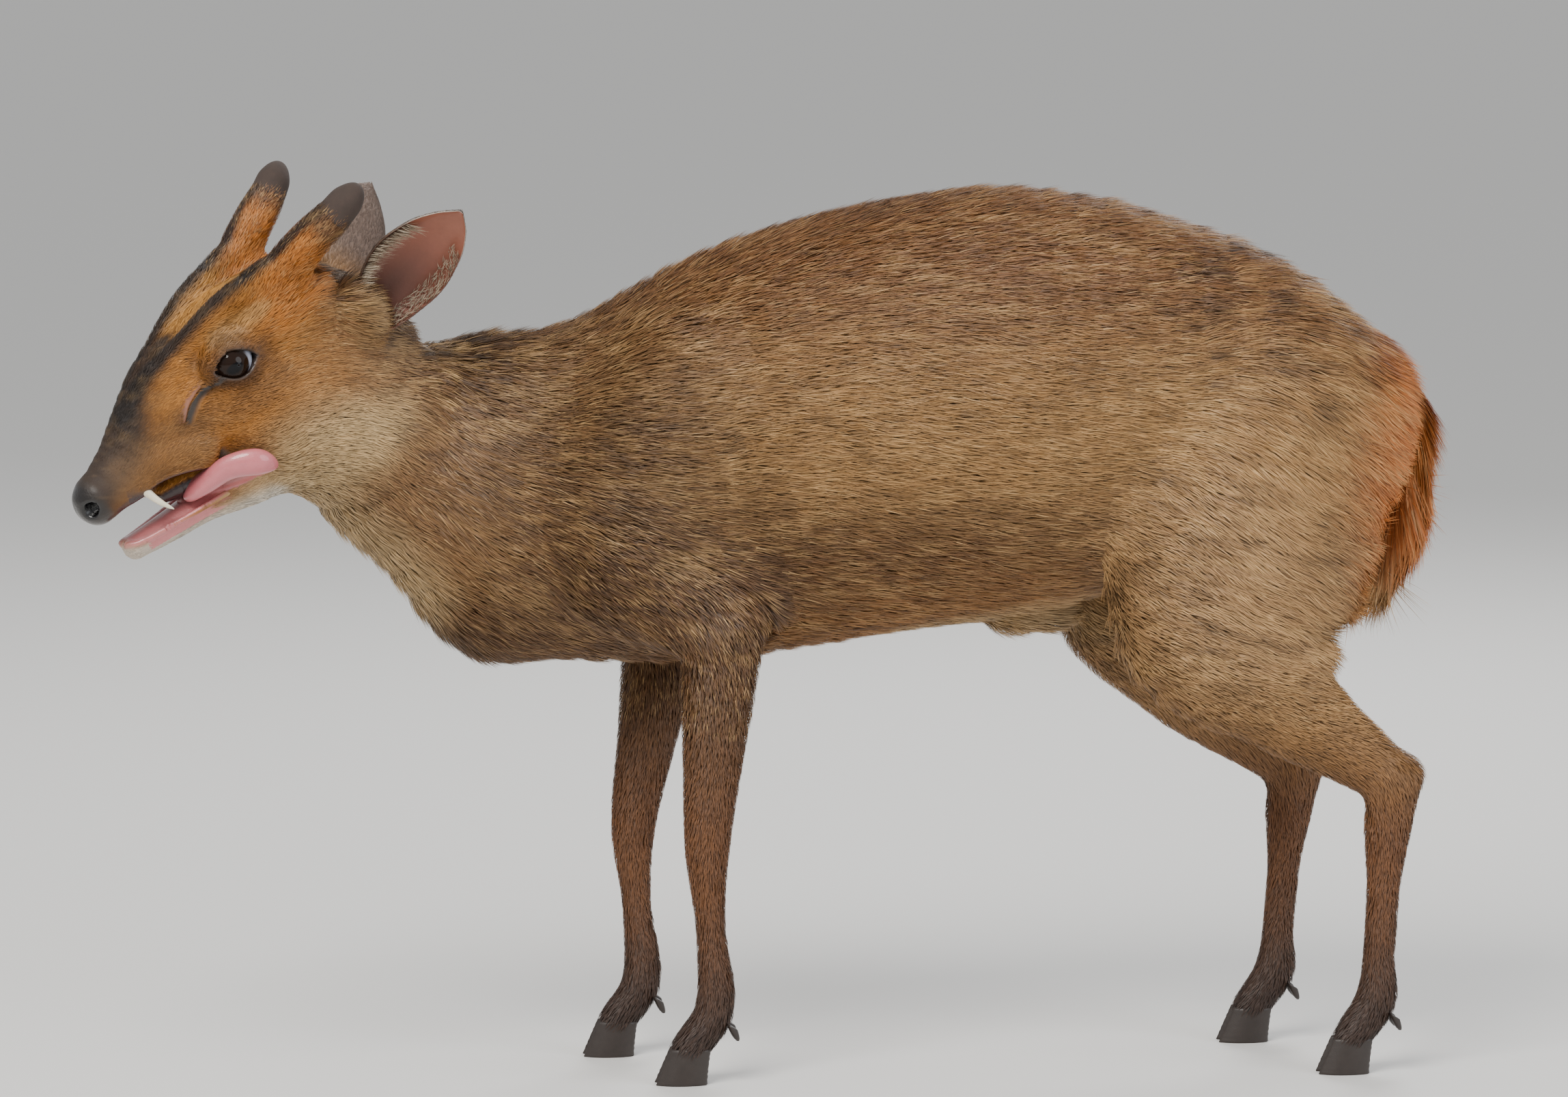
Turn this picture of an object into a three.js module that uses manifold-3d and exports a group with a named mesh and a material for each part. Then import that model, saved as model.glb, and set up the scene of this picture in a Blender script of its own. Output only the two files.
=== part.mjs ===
// A life-size muntjac buck, standing crouched with its head low and turned to its left, mouth open and
// tongue curled out. Millimetres, +Z up. The animal faces -X and its left side faces -Y.
// The body is one smooth field of limbs and swellings. Every part of flesh is a loft of rings whose
// radii are found on that field, so neighbouring parts meet on one surface with a thin gap between.

import * as THREE from 'three';
import { mergeVertices } from 'three/addons/utils/BufferGeometryUtils.js';
import Module from 'manifold-3d';

const wasm = await Module();
wasm.setup();

// Driving dimensions
const GAP = 0.35; // space kept between neighbouring solids
const BLOCK = 1200; // side of the blocks that part the body
const SIDES = { left: -1, right: 1 };

// Trunk and neck: a place on the axis, with the half height and half width of the body there
const TRUNK = [
  { at: [-165, 0, 327], deep: 86, wide: 48 },
  { at: [-115, 0, 327], deep: 94, wide: 58 },
  { at: [-60, 0, 338], deep: 108, wide: 67 },
  { at: [0, 0, 357], deep: 118, wide: 76 },
  { at: [60, 0, 370], deep: 122, wide: 81 },
  { at: [116, 0, 377], deep: 123.5, wide: 80 },
  { at: [175, 0, 382.5], deep: 112.5, wide: 74 },
  { at: [232, 0, 385], deep: 90, wide: 65 },
  { at: [285, 0, 372], deep: 70, wide: 55 },
  { at: [316, 0, 362], deep: 56, wide: 48 },
];
const RUMP_ROUND = 32; // how far the rump swells behind the last place of the trunk
const NECK = [
  { at: [-140, 0, 327], deep: 90, wide: 48 },
  { at: [-201, -8, 351], deep: 67, wide: 42 },
  { at: [-240, -26, 371], deep: 54, wide: 38 },
  { at: [-266, -40, 386], deep: 44, wide: 34 },
];
const SHEATH = { at: [138, 0, 257], radii: [26, 13, 11] };
const NECK_CUT_X = -150; // plane between the torso and the neck

// Head: lengths run back from the tip of the nose, heights from it towards the crown
const HEAD = { nose: [-396, -92, 334.6], yaw: 22, pitch: 30, roll: 6 };
const SKULL = [
  { at: [14, 0, -5], deep: 12.5, wide: 13.5 },
  { at: [37, 0, 3], deep: 17.2, wide: 16.5 },
  { at: [59, 0, 10.3], deep: 26.2, wide: 20.5 },
  { at: [80, 0, 15], deep: 35, wide: 25.5 },
  { at: [100, 0, 10], deep: 44, wide: 31 },
  { at: [122, 0, 7], deep: 51, wide: 36 },
  { at: [148, 0, 5], deep: 52, wide: 37 },
  { at: [170, 0, -3], deep: 42, wide: 35 },
  { at: [188, 0, -14], deep: 28, wide: 31 },
];
const JAW = [
  { at: [19, 0, -41], deep: 7.2, wide: 8 },
  { at: [40, 0, -42], deep: 8.6, wide: 11 },
  { at: [65, 0, -42.5], deep: 9.6, wide: 15 },
  { at: [95, 0, -48], deep: 11, wide: 21 },
  { at: [118, 0, -44], deep: 18, wide: 25 },
];
const THROAT = [
  { at: [108, 0, -45], deep: 16, wide: 24 },
  { at: [130, 0, -42], deep: 24, wide: 28 },
  { at: [160, 0, -40], deep: 34, wide: 32 },
];
const LIP_FLESH = [
  { at: [20, 8, -6], deep: 8, wide: 6 },
  { at: [32, 11, -5], deep: 9, wide: 6 },
  { at: [42, 13.5, -2.5], deep: 9, wide: 6.5 },
  { at: [56, 16, -3], deep: 10, wide: 7 },
  { at: [74, 19, -8], deep: 11, wide: 8 },
];
const CHEEK = { at: [124, 23, -20], radii: [29, 15, 30] };
const ORBIT = { at: [107, 28, 30], radii: [19, 9.5, 14] };
const EAR_BASE = { at: [182, 30, 15], radii: [17, 13, 22] };
const TEMPLE = { at: [150, 24, 36], radii: [30, 15, 24] };
const FOREHEAD_RIDGE = [
  { at: [68, 8, 34], deep: 6, wide: 6 },
  { at: [95, 15, 47], deep: 8, wide: 7 },
  { at: [120, 20, 55], deep: 9, wide: 8 },
  { at: [146, 25, 56], deep: 12, wide: 11 },
];
const NOSE = { at: [11, 0, -6], radii: [12, 13.6, 13.4], back: 14 };
const NOSTRIL = { at: [5, 8.4, -5.5], radii: [6.5, 3, 4] };
const EYE = { at: [107, 22.4, 28.4], radius: 14, opening: [26, 15.5], slant: 10 };
const GLAND_SLIT = { from: [74, 27, 13], to: [91, 31, 24], radius: 1.6 };
const PEDICLE = [
  { at: [140, 20, 38], deep: 15, wide: 14 },
  { at: [158, 28, 54], deep: 15, wide: 13.5 },
  { at: [179, 36, 66], deep: 12.6, wide: 12 },
  { at: [195, 42, 73], deep: 10.2, wide: 10 },
];
const ANTLER = [
  { at: [191, 40.5, 71], deep: 10, wide: 9.8 },
  { at: [199, 43.5, 75], deep: 9.6, wide: 9.4 },
  { at: [205, 46, 78], deep: 9, wide: 8.8 },
];
const ANTLER_CUT = { at: [195, 42, 73], along: [14, 5, 8] };
const TUSK = { root: [33, 11.5, -5], mid: [36.5, 15.5, -17], tip: [43, 18.5, -28], radius: 2.3 };
const TONGUE = [
  { at: [56, -4, -30], deep: 3.5, wide: 9 },
  { at: [66, -16, -26], deep: 5.5, wide: 8 },
  { at: [79, -29, -21.5], deep: 7, wide: 5.5 },
  { at: [91, -36, -24.5], deep: 7.5, wide: 5 },
  { at: [101, -37, -33], deep: 6.5, wide: 4.5 },
];
const HEAD_CUT = { at: [152, 0, -33], normal: [0.546, 0, -0.838] }; // plane behind the jaw and the ears

// Ears: where the middle of the root and the tip are, and which way the cup opens
const EAR_THICK = 2.6;
const EARS = {
  left: { root: [185.5, -32.3, 4.7], tip: [248.5, -70, 44], opens: [-0.35, -0.9, -0.1] },
  right: { root: [193.5, 32.8, 6.8], tip: [258, 63, 36], opens: [-0.55, 0.8, -0.1] },
};
const EAR_HALF_WIDTH = [[0, 12], [0.2, 19], [0.45, 23.5], [0.7, 19.5], [0.88, 11.5], [1, 1.6]];
const EAR_CUP_DEPTH = [[0, 15], [0.2, 15], [0.45, 11], [0.7, 7], [0.88, 4], [1, 1.2]];

// Legs: joints as points, each with the half depth fore and aft and the half width of the limb
const SHOULDER = [
  { at: [-62, 34, 396], deep: 38, wide: 26 },
  { at: [-88, 40, 355], deep: 44, wide: 28 },
  { at: [-104, 42, 305], deep: 38, wide: 26 },
];
const HIND_HIP = { at: [288, 30, 384], deep: 54, wide: 34 };
// The foreleg is parted from the chest by planes inside it, above it, before it and behind it
const FORE_CUT = { inner: 24, top: 250, slope: 14, ahead: 38, behind: 34 };
const HIND_CUT = { at: [165, 0, 262], slope: 18 }; // oblique plane between the torso and both thighs
const LEGS = {
  foreleg_left: {
    side: -1, elbow: [-40, 50, 258], wrist: [-48, 47, 132], fetlock: [-44, 45, 42], toe: [-57, 45, 21],
  },
  foreleg_right: {
    side: 1, elbow: [-62, 50, 255], wrist: [-82, 47, 130], fetlock: [-78, 45, 42], toe: [-91, 45, 21],
  },
  hind_leg_left: {
    side: -1, knee: [214, 54, 256], hock: [338, 53, 167], fetlock: [331, 51, 42], toe: [318, 51, 21],
  },
  hind_leg_right: {
    side: 1, knee: [196, 54, 252], hock: [302, 53, 160], fetlock: [292, 51, 42], toe: [279, 51, 21],
  },
};
const HOCK_TURN = THREE.MathUtils.degToRad(65);
const FORELEG_LEVELS = [138, 126, 114, 106, 101, 96, 91, 82, 66, 46, 24, 8, -10]; // rings above the wrist
const HOOF = { length: 29, width: 10.2, height: 20.6, between: 0.6 };
const DEWCLAW = { length: 8, radius: 3.8, spread: 7, back: 9.5, height: 33, slant: 0.3 };

// Tail: it hangs close to the rump, with a fringe of long hair down both edges and at the tip
const TAIL = [
  { at: [330, 0, 396], deep: 12, wide: 15 },
  { at: [350, 0, 380], deep: 10, wide: 18 },
  { at: [355.5, 0, 350], deep: 9.5, wide: 20 },
  { at: [352, 0, 315], deep: 9, wide: 19 },
  { at: [343, 0, 290], deep: 7.5, wide: 14 },
];
const FRINGE = { locks: 7, from: 0.3, to: 1, length: 30, width: 8.5, thick: 3 };

const COLOURS = {
  coat: [0x7a4a2c, 0.9],
  face: [0xa8692c, 0.9],
  pedicle: [0xa5641f, 0.9],
  velvet: [0x4a4038, 0.95],
  nose: [0x14110f, 0.25],
  eye: [0x0b0806, 0.08],
  ear: [0x8c5a44, 0.85],
  mouth: [0xd98f94, 0.35],
  ivory: [0xe8dcc2, 0.35],
  hoof: [0x2a221c, 0.5],
  tail: [0xa3511d, 0.9],
};

// Field of the body

/** Smooth union of two distances, rounded over the length k. */
function blend(a, b, k) {
  const h = Math.max(k - Math.abs(a - b), 0) / k;
  return Math.min(a, b) - (h * h * k) / 4;
}

/** Places resampled along a smooth curve, so that a limb bends and swells evenly. */
function smoothPlaces(places, perSpan = 4) {
  const curve = new THREE.CatmullRomCurve3(places.map((p) => new THREE.Vector3(...p.at)), false, 'centripetal');
  const sizes = new THREE.CatmullRomCurve3(places.map((p) => new THREE.Vector3(p.deep, p.wide, 0)));
  const count = (places.length - 1) * perSpan;
  return Array.from({ length: count + 1 }, (_, i) => {
    const size = sizes.getPoint(i / count);
    return { at: curve.getPoint(i / count), deep: size.x, wide: size.y };
  });
}

/** Distance to a limb of oval section. The wide axis stays level, the deep one stands square to it. */
function limb(places, { startCap = 0, endCap = 0, perSpan = 4 } = {}) {
  const fine = smoothPlaces(places, perSpan);
  const level = new THREE.Vector3(0, 1, 0);
  const spans = fine.slice(1).map((end, i) => {
    const start = fine[i];
    const along = end.at.clone().sub(start.at);
    const length = along.length();
    along.divideScalar(length);
    const wide = level.clone().addScaledVector(along, -level.dot(along)).normalize();
    const deep = along.clone().cross(wide);
    const caps = [i === 0 && startCap ? startCap : 0, i === fine.length - 2 && endCap ? endCap : 0];
    return { start, end, along, length, wide, deep, caps };
  });
  const offset = new THREE.Vector3();
  return (p) => {
    let best = Infinity;
    for (const span of spans) {
      offset.copy(p).sub(span.start.at);
      const t = Math.min(Math.max(offset.dot(span.along) / span.length, 0), 1);
      offset.addScaledVector(span.along, -t * span.length);
      const halfDeep = span.start.deep + t * (span.end.deep - span.start.deep);
      const halfWide = span.start.wide + t * (span.end.wide - span.start.wide);
      const past = offset.dot(span.along);
      const cap = (past < 0 ? span.caps[0] : span.caps[1]) || Math.min(halfDeep, halfWide);
      const reach = Math.hypot(offset.dot(span.wide) / halfWide, offset.dot(span.deep) / halfDeep, past / cap);
      const length = offset.length();
      const distance = reach > 1e-6 ? (length * (reach - 1)) / reach : -Math.min(halfDeep, halfWide);
      best = Math.min(best, distance);
    }
    return best;
  };
}

/** Distance to an ellipsoid. */
function swelling({ at, radii }) {
  return (p) => {
    const x = p.x - at[0];
    const y = p.y - at[1];
    const z = p.z - at[2];
    const reach = Math.hypot(x / radii[0], y / radii[1], z / radii[2]);
    return reach > 1e-6 ? (Math.hypot(x, y, z) * (reach - 1)) / reach : -Math.min(...radii);
  };
}

/** The same shape on the left (-Y) and the right (+Y). */
function mirrored(make, shape) {
  const flip = (value) => (Array.isArray(value) ? value.map(flip) : {
    ...value, at: [value.at[0], -value.at[1], value.at[2]],
  });
  return [make(flip(shape)), make(shape)];
}

/** Smooth union of several fields, each with its own rounding. */
function union(parts) {
  return (p) => parts.reduce((sum, [field, k]) => blend(sum, field(p), k), 1e3);
}

const headMatrix = new THREE.Matrix4().makeRotationZ(THREE.MathUtils.degToRad(HEAD.yaw));
headMatrix.multiply(new THREE.Matrix4().makeRotationY(-THREE.MathUtils.degToRad(HEAD.pitch)));
headMatrix.multiply(new THREE.Matrix4().makeRotationX(THREE.MathUtils.degToRad(HEAD.roll)));
headMatrix.setPosition(...HEAD.nose);
const headInverse = headMatrix.clone().invert();

/** A field given in the head's own frame, read at a point of the whole animal. */
function inHeadFrame(field) {
  const local = new THREE.Vector3();
  return (p) => field(local.copy(p).applyMatrix4(headInverse));
}

/** A field of the whole animal, read at a point in the head's own frame. */
function fromHeadFrame(field) {
  const world = new THREE.Vector3();
  return (p) => field(world.copy(p).applyMatrix4(headMatrix));
}

const skullField = union([
  [limb(SKULL, { startCap: 6 }), 4],
  ...mirrored(limb, LIP_FLESH).map((f) => [f, 5]),
  ...mirrored(swelling, CHEEK).map((f) => [f, 14]),
  ...mirrored(limb, FOREHEAD_RIDGE).map((f) => [f, 8]),
  ...mirrored(swelling, ORBIT).map((f) => [f, 8]),
  ...mirrored(swelling, EAR_BASE).map((f) => [f, 10]),
  ...mirrored(swelling, TEMPLE).map((f) => [f, 10]),
  [limb(THROAT), 12],
]);
const jawField = limb(JAW, { startCap: 7 });
const neckField = limb(NECK);
const trunkField = union([[limb(TRUNK, { endCap: RUMP_ROUND }), 4], [swelling(SHEATH), 14]]);

/** Joints of a foreleg as places of its limb, from the elbow to the coronet. */
function forelegPlaces({ side, elbow, wrist, fetlock, toe }) {
  const middle = (a, b, t) => a.map((value, i) => value + t * (b[i] - value));
  return [
    { at: elbow, deep: 27, wide: 19 },
    { at: middle(elbow, wrist, 0.5), deep: 18.5, wide: 14 },
    { at: wrist, deep: 13, wide: 12.2 },
    { at: middle(wrist, fetlock, 0.5), deep: 8.8, wide: 9 },
    { at: fetlock, deep: 11.5, wide: 11 },
    { at: toe, deep: 11, wide: 10.6 },
  ].map((place) => ({ ...place, at: [place.at[0], side * place.at[1], place.at[2]] }));
}

/** The thigh: from the hip down to the stifle and the back of the shank. */
function thighPlaces({ side, knee, hock }) {
  const behind = hock[0] - 76;
  return [
    HIND_HIP,
    { at: [knee[0] + 48, 43, 332], deep: 68, wide: 35 },
    { at: [knee[0] + 29, 51, 287], deep: 72, wide: 30 },
    { at: [knee[0] + 31, 54, 254], deep: 60, wide: 25 },
    { at: [behind, 54, 230], deep: 42, wide: 20 },
  ].map((place) => ({ ...place, at: [place.at[0], side * place.at[1], place.at[2]] }));
}

/** The shank: from the stifle to the hock. */
function shankPlaces({ side, knee, hock }) {
  const middle = (t) => knee.map((value, i) => value + t * (hock[i] - value));
  return [
    { at: knee, deep: 33, wide: 23 },
    { at: middle(0.45), deep: 31, wide: 20 },
    { at: middle(0.82), deep: 20, wide: 15 },
    { at: hock, deep: 15, wide: 12.5 },
  ].map((place) => ({ ...place, at: [place.at[0], side * place.at[1], place.at[2]] }));
}

/** The hind foot, from the hock to the coronet. */
function hindFootPlaces({ side, hock, fetlock, toe }) {
  const middle = (t) => hock.map((value, i) => value + t * (fetlock[i] - value));
  return [
    { at: [hock[0] + 2, hock[1], hock[2] + 4], deep: 17, wide: 12.5 },
    { at: middle(0.22), deep: 14, wide: 11 },
    { at: middle(0.5), deep: 9.8, wide: 9.2 },
    { at: middle(0.8), deep: 9.4, wide: 9.2 },
    { at: fetlock, deep: 12, wide: 11 },
    { at: toe, deep: 11, wide: 10.6 },
  ].map((place) => ({ ...place, at: [place.at[0], side * place.at[1], place.at[2]] }));
}

/** The upper arm, from the point of the shoulder to the elbow. */
function upperArmPlaces({ side, elbow }) {
  return [
    { at: [-104, side * 42, 302], deep: 36, wide: 25 },
    { at: [elbow[0], side * elbow[1], elbow[2]], deep: 27, wide: 19 },
  ];
}

const legFields = Object.fromEntries(Object.entries(LEGS).map(([name, leg]) => {
  if (leg.elbow) {
    return [name, union([[limb(forelegPlaces(leg)), 4], [limb(upperArmPlaces(leg)), 16]])];
  }
  return [name, union([[limb(thighPlaces(leg)), 4], [limb(shankPlaces(leg)), 20],
    [limb(hindFootPlaces(leg)), 8]])];
}));
const bodyField = union([
  [trunkField, 4],
  ...mirrored(limb, SHOULDER).map((f) => [f, 24]),
  ...Object.values(legFields).map((f) => [f, 26]),
  [neckField, 30],
  [inHeadFrame(skullField), 16],
]);
const skullOnBody = union([[skullField, 4], [fromHeadFrame(neckField), 16]]);

// Lofts

/** A closed body through rings of points, its two ends closed by fans. */
function loft(rings) {
  const sides = rings[0].length;
  const points = rings.flat();
  const middle = (ring) => ring.reduce((sum, p) => sum.add(p), new THREE.Vector3()).divideScalar(ring.length);
  points.push(middle(rings[0]), middle(rings[rings.length - 1]));
  const first = points.length - 2;
  const index = [];
  rings.slice(1).forEach((_, r) => {
    for (let s = 0; s < sides; s += 1) {
      const next = (s + 1) % sides;
      const [a, b, c, d] = [r * sides + s, r * sides + next, (r + 1) * sides + s, (r + 1) * sides + next];
      index.push(a, b, d, a, d, c);
    }
  });
  const last = (rings.length - 1) * sides;
  for (let s = 0; s < sides; s += 1) {
    const next = (s + 1) % sides;
    index.push(first, next, s, first + 1, last + s, last + next);
  }
  return facingOut(points, index);
}

/** An indexed geometry whose faces point out. */
function facingOut(points, index) {
  const edgeA = new THREE.Vector3();
  let volume = 0;
  for (let i = 0; i < index.length; i += 3) {
    volume += points[index[i]].dot(edgeA.copy(points[index[i + 1]]).cross(points[index[i + 2]]));
  }
  const turned = volume > 0 ? index : [...index].reverse();
  const geometry = new THREE.BufferGeometry();
  geometry.setAttribute('position', new THREE.Float32BufferAttribute(points.flatMap((p) => [p.x, p.y, p.z]), 3));
  geometry.setIndex(turned);
  return geometry;
}

/** One ring: from its centre, each ray is followed outwards to where the field reaches the level. */
function ringOn(field, { centre, right, up, reach = 130 }, sides, level = 0) {
  const probe = new THREE.Vector3();
  const step = 3;
  return Array.from({ length: sides }, (_, s) => {
    const angle = (2 * Math.PI * s) / sides;
    const ray = right.clone().multiplyScalar(Math.cos(angle)).addScaledVector(up, Math.sin(angle));
    const value = (r) => field(probe.copy(centre).addScaledVector(ray, r)) - level;
    let outer = step;
    while (outer < reach && value(outer) < 0) outer += step;
    let inner = outer - step;
    for (let i = 0; i < 12; i += 1) {
      const mid = (inner + outer) / 2;
      if (value(mid) < 0) inner = mid;
      else outer = mid;
    }
    return centre.clone().addScaledVector(ray, inner);
  });
}

/** Rings square to a path of places, evenly spaced along it. */
function ringsAlong(places, count, reach) {
  const curve = new THREE.CatmullRomCurve3(places.map((p) => new THREE.Vector3(...p.at)), false, 'centripetal');
  const level = new THREE.Vector3(0, 1, 0);
  return Array.from({ length: count }, (_, i) => {
    const t = i / (count - 1);
    const along = curve.getTangentAt(t);
    const right = level.clone().addScaledVector(along, -level.dot(along)).normalize();
    return { centre: curve.getPointAt(t), right, up: along.clone().cross(right), reach };
  });
}

/** A limb's own loft, with a round end where endRound is given. */
function limbLoft(places, count, sides, { startRound = 0, endRound = 0 } = {}) {
  const fine = smoothPlaces(places, 8);
  const rings = ringsAlong(places, count, 1).map((ring, i) => {
    const t = i / (count - 1);
    const place = fine[Math.round(t * (fine.length - 1))];
    let scale = 1;
    if (startRound && t < startRound) scale = Math.sqrt(Math.max(1 - (1 - t / startRound) ** 2, 0.02));
    if (endRound && t > 1 - endRound) scale = Math.sqrt(Math.max(1 - ((t - 1 + endRound) / endRound) ** 2, 0.02));
    return Array.from({ length: sides }, (_, s) => {
      const angle = (2 * Math.PI * s) / sides;
      return ring.centre.clone()
        .addScaledVector(ring.right, Math.cos(angle) * place.wide * scale)
        .addScaledVector(ring.up, Math.sin(angle) * place.deep * scale);
    });
  });
  return loft(rings);
}

// Joining and cutting

/** A geometry as a solid that can be joined and cut. */
function solid(geometry) {
  const bare = geometry.clone();
  bare.deleteAttribute('normal');
  bare.deleteAttribute('uv');
  const merged = mergeVertices(bare, 1e-4);
  return new wasm.Manifold(new wasm.Mesh({
    numProp: 3,
    vertProperties: Float32Array.from(merged.attributes.position.array),
    triVerts: Uint32Array.from(merged.index.array),
  }));
}

/** The largest body of a solid, as a geometry. */
function geometryOf(shape) {
  const bodies = shape.decompose().sort((a, b) => b.volume() - a.volume());
  const mesh = bodies[0].getMesh();
  const geometry = new THREE.BufferGeometry();
  geometry.setAttribute('position', new THREE.Float32BufferAttribute(mesh.vertProperties, 3));
  geometry.setIndex(new THREE.Uint32BufferAttribute(mesh.triVerts, 1));
  return geometry;
}

/** A large block whose one face lies in the plane at a point, on the side that the normal points to. */
function blockBeyond(at, normal, gap = GAP / 2) {
  const out = new THREE.Vector3(...normal).normalize();
  const block = new THREE.BoxGeometry(BLOCK, BLOCK, BLOCK);
  block.translate(0, 0, BLOCK / 2 - gap);
  block.applyQuaternion(new THREE.Quaternion().setFromUnitVectors(new THREE.Vector3(0, 0, 1), out));
  block.translate(...at);
  return solid(block);
}

/** An ellipsoid as a solid. */
function ball({ at, radii }, segments = 14) {
  const sphere = new THREE.SphereGeometry(1, segments, Math.round(segments * 0.7));
  sphere.scale(...radii);
  sphere.translate(...at);
  return solid(sphere);
}

/** The same place on the given side of the head. */
function onSide(at, side) {
  return [at[0], side * at[1], at[2]];
}

// Body

function torso() {
  const ringX = [NECK_CUT_X + GAP / 2, -132, -112, -90, -66, -40, -12, 18, 50, 82, 114, 144, 172, 200,
    228, 254, 278, 300, 318, 332, 341, 346.5];
  const curve = smoothPlaces(TRUNK, 8);
  const heightAt = (x) => curve.reduce((best, p) => (Math.abs(p.at.x - x) < Math.abs(best.at.x - x) ? p : best)).at.z;
  const right = new THREE.Vector3(0, 1, 0);
  const up = new THREE.Vector3(0, 0, 1);
  const rings = ringX.map((x) => ringOn(bodyField,
    { centre: new THREE.Vector3(x, 0, heightAt(x)), right, up, reach: 170 }, 30));
  const slope = THREE.MathUtils.degToRad(HIND_CUT.slope);
  let body = solid(loft(rings));
  body = body.intersect(blockBeyond(HIND_CUT.at, [-Math.sin(slope), 0, Math.cos(slope)], -GAP / 2));
  for (const leg of Object.values(LEGS).filter((one) => one.elbow)) body = body.subtract(legRegion(leg, GAP / 2));
  return geometryOf(body);
}

function neck() {
  const cut = planeOfHead();
  const start = new THREE.Vector3(NECK_CUT_X - GAP / 2, 0, 331);
  const count = 9;
  const rings = Array.from({ length: count }, (_, i) => {
    const t = i / (count - 1);
    const along = new THREE.Vector3(-1, 0, 0).lerp(cut.normal.clone().negate(), t).normalize();
    const level = new THREE.Vector3(0, 1, 0);
    const right = level.addScaledVector(along, -level.dot(along)).normalize();
    const centre = start.clone().lerp(cut.at, t);
    centre.z += 6 * Math.sin(Math.PI * t);
    return ringOn(bodyField, { centre, right, up: along.clone().cross(right) }, 28);
  });
  return loft(rings);
}

/** The plane between the head and the neck, in the frame of the whole animal. */
function planeOfHead() {
  const normal = new THREE.Vector3(...HEAD_CUT.normal).transformDirection(headMatrix);
  const at = new THREE.Vector3(...HEAD_CUT.at).applyMatrix4(headMatrix).addScaledVector(normal, GAP / 2);
  return { at, normal };
}

// Head, in its own frame: x back from the nose, -y to the animal's left, z to the crown

/** The upper head without its openings, grown by the given distance. */
function plainHead(grow = 0) {
  const places = [14 + GAP / 2, 21, 30, 40, 50, 60, 70, 79, 87, 94, 99, 104, 111, 119, 128, 138, 149,
    160, 171, 182, 193, 204];
  const centreHeight = (a) => THREE.MathUtils.lerp(-4, 10, THREE.MathUtils.clamp((a - 14) / 60, 0, 1));
  const rings = places.map((a) => ringOn(skullOnBody, {
    centre: new THREE.Vector3(a, 0, centreHeight(a)),
    right: new THREE.Vector3(0, 1, 0),
    up: new THREE.Vector3(0, 0, 1),
    reach: 78,
  }, 28, grow));
  return solid(loft(rings)).intersect(blockBeyond(HEAD_CUT.at, HEAD_CUT.normal.map((v) => -v), -GAP / 2));
}

/** The almond opening between the lids, as a prism that reaches out from the ball of the eye. */
function lidOpening(side) {
  const [long, high] = EYE.opening;
  const almond = new THREE.Shape();
  almond.moveTo(-long / 2, 0);
  almond.quadraticCurveTo(-long * 0.2, high * 0.78, long * 0.08, high * 0.5);
  almond.quadraticCurveTo(long * 0.36, high * 0.32, long / 2, 0);
  almond.quadraticCurveTo(long * 0.3, -high * 0.56, 0, -high * 0.5);
  almond.quadraticCurveTo(-long * 0.34, -high * 0.42, -long / 2, 0);
  const prism = new THREE.ExtrudeGeometry(almond, { depth: 30, bevelEnabled: false, curveSegments: 4 });
  prism.rotateX(Math.PI / 2);
  if (side > 0) prism.translate(0, 30, 0);
  prism.rotateY(THREE.MathUtils.degToRad(EYE.slant));
  prism.translate(...onSide(EYE.at, side));
  return solid(prism);
}

function head() {
  let shape = plainHead();
  for (const side of Object.values(SIDES)) {
    const radius = EYE.radius + GAP;
    shape = shape.subtract(ball({ at: onSide(EYE.at, side), radii: [radius, radius, radius] }, 14));
    shape = shape.subtract(lidOpening(side));
    shape = shape.subtract(glandSlit(side));
  }
  return geometryOf(shape);
}

/** The slit of the scent gland in front of the eye. */
function glandSlit(side) {
  const from = new THREE.Vector3(...onSide(GLAND_SLIT.from, side));
  const to = new THREE.Vector3(...onSide(GLAND_SLIT.to, side));
  const groove = new THREE.SphereGeometry(1, 8, 6);
  groove.scale(from.distanceTo(to) / 2, 4.5, GLAND_SLIT.radius);
  const turn = new THREE.Quaternion().setFromUnitVectors(
    new THREE.Vector3(1, 0, 0), to.clone().sub(from).normalize());
  groove.applyQuaternion(turn);
  groove.translate(...from.add(to).multiplyScalar(0.5).toArray());
  return solid(groove);
}

function lowerJaw(headGrown) {
  const path = ringsAlong(JAW, 11, 40);
  const rings = path.map((ring) => ringOn(jawField, ring, 16));
  const tip = ringOn(jawField, { ...path[0], centre: new THREE.Vector3(14.5, 0, -40) }, 16);
  return geometryOf(solid(loft([tip, ...rings])).subtract(headGrown));
}

function nosePad() {
  const pad = ball(NOSE, 14).subtract(blockBeyond([NOSE.back, 0, 0], [1, 0, 0], GAP / 2));
  const nostrils = Object.values(SIDES).map((side) => ball({ ...NOSTRIL, at: onSide(NOSTRIL.at, side) }, 8));
  return geometryOf(pad.subtract(nostrils[0]).subtract(nostrils[1]));
}

function pedicle(side, headGrown) {
  const places = PEDICLE.map((p) => ({ ...p, at: onSide(p.at, side) }));
  const end = { ...places[places.length - 1] };
  const along = onSide(ANTLER_CUT.along, side);
  end.at = end.at.map((value, i) => value + along[i] * 0.3);
  const shape = solid(limbLoft([...places, end], 8, 12)).subtract(headGrown);
  return geometryOf(shape.subtract(blockBeyond(onSide(ANTLER_CUT.at, side), along, GAP / 2)));
}

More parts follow.
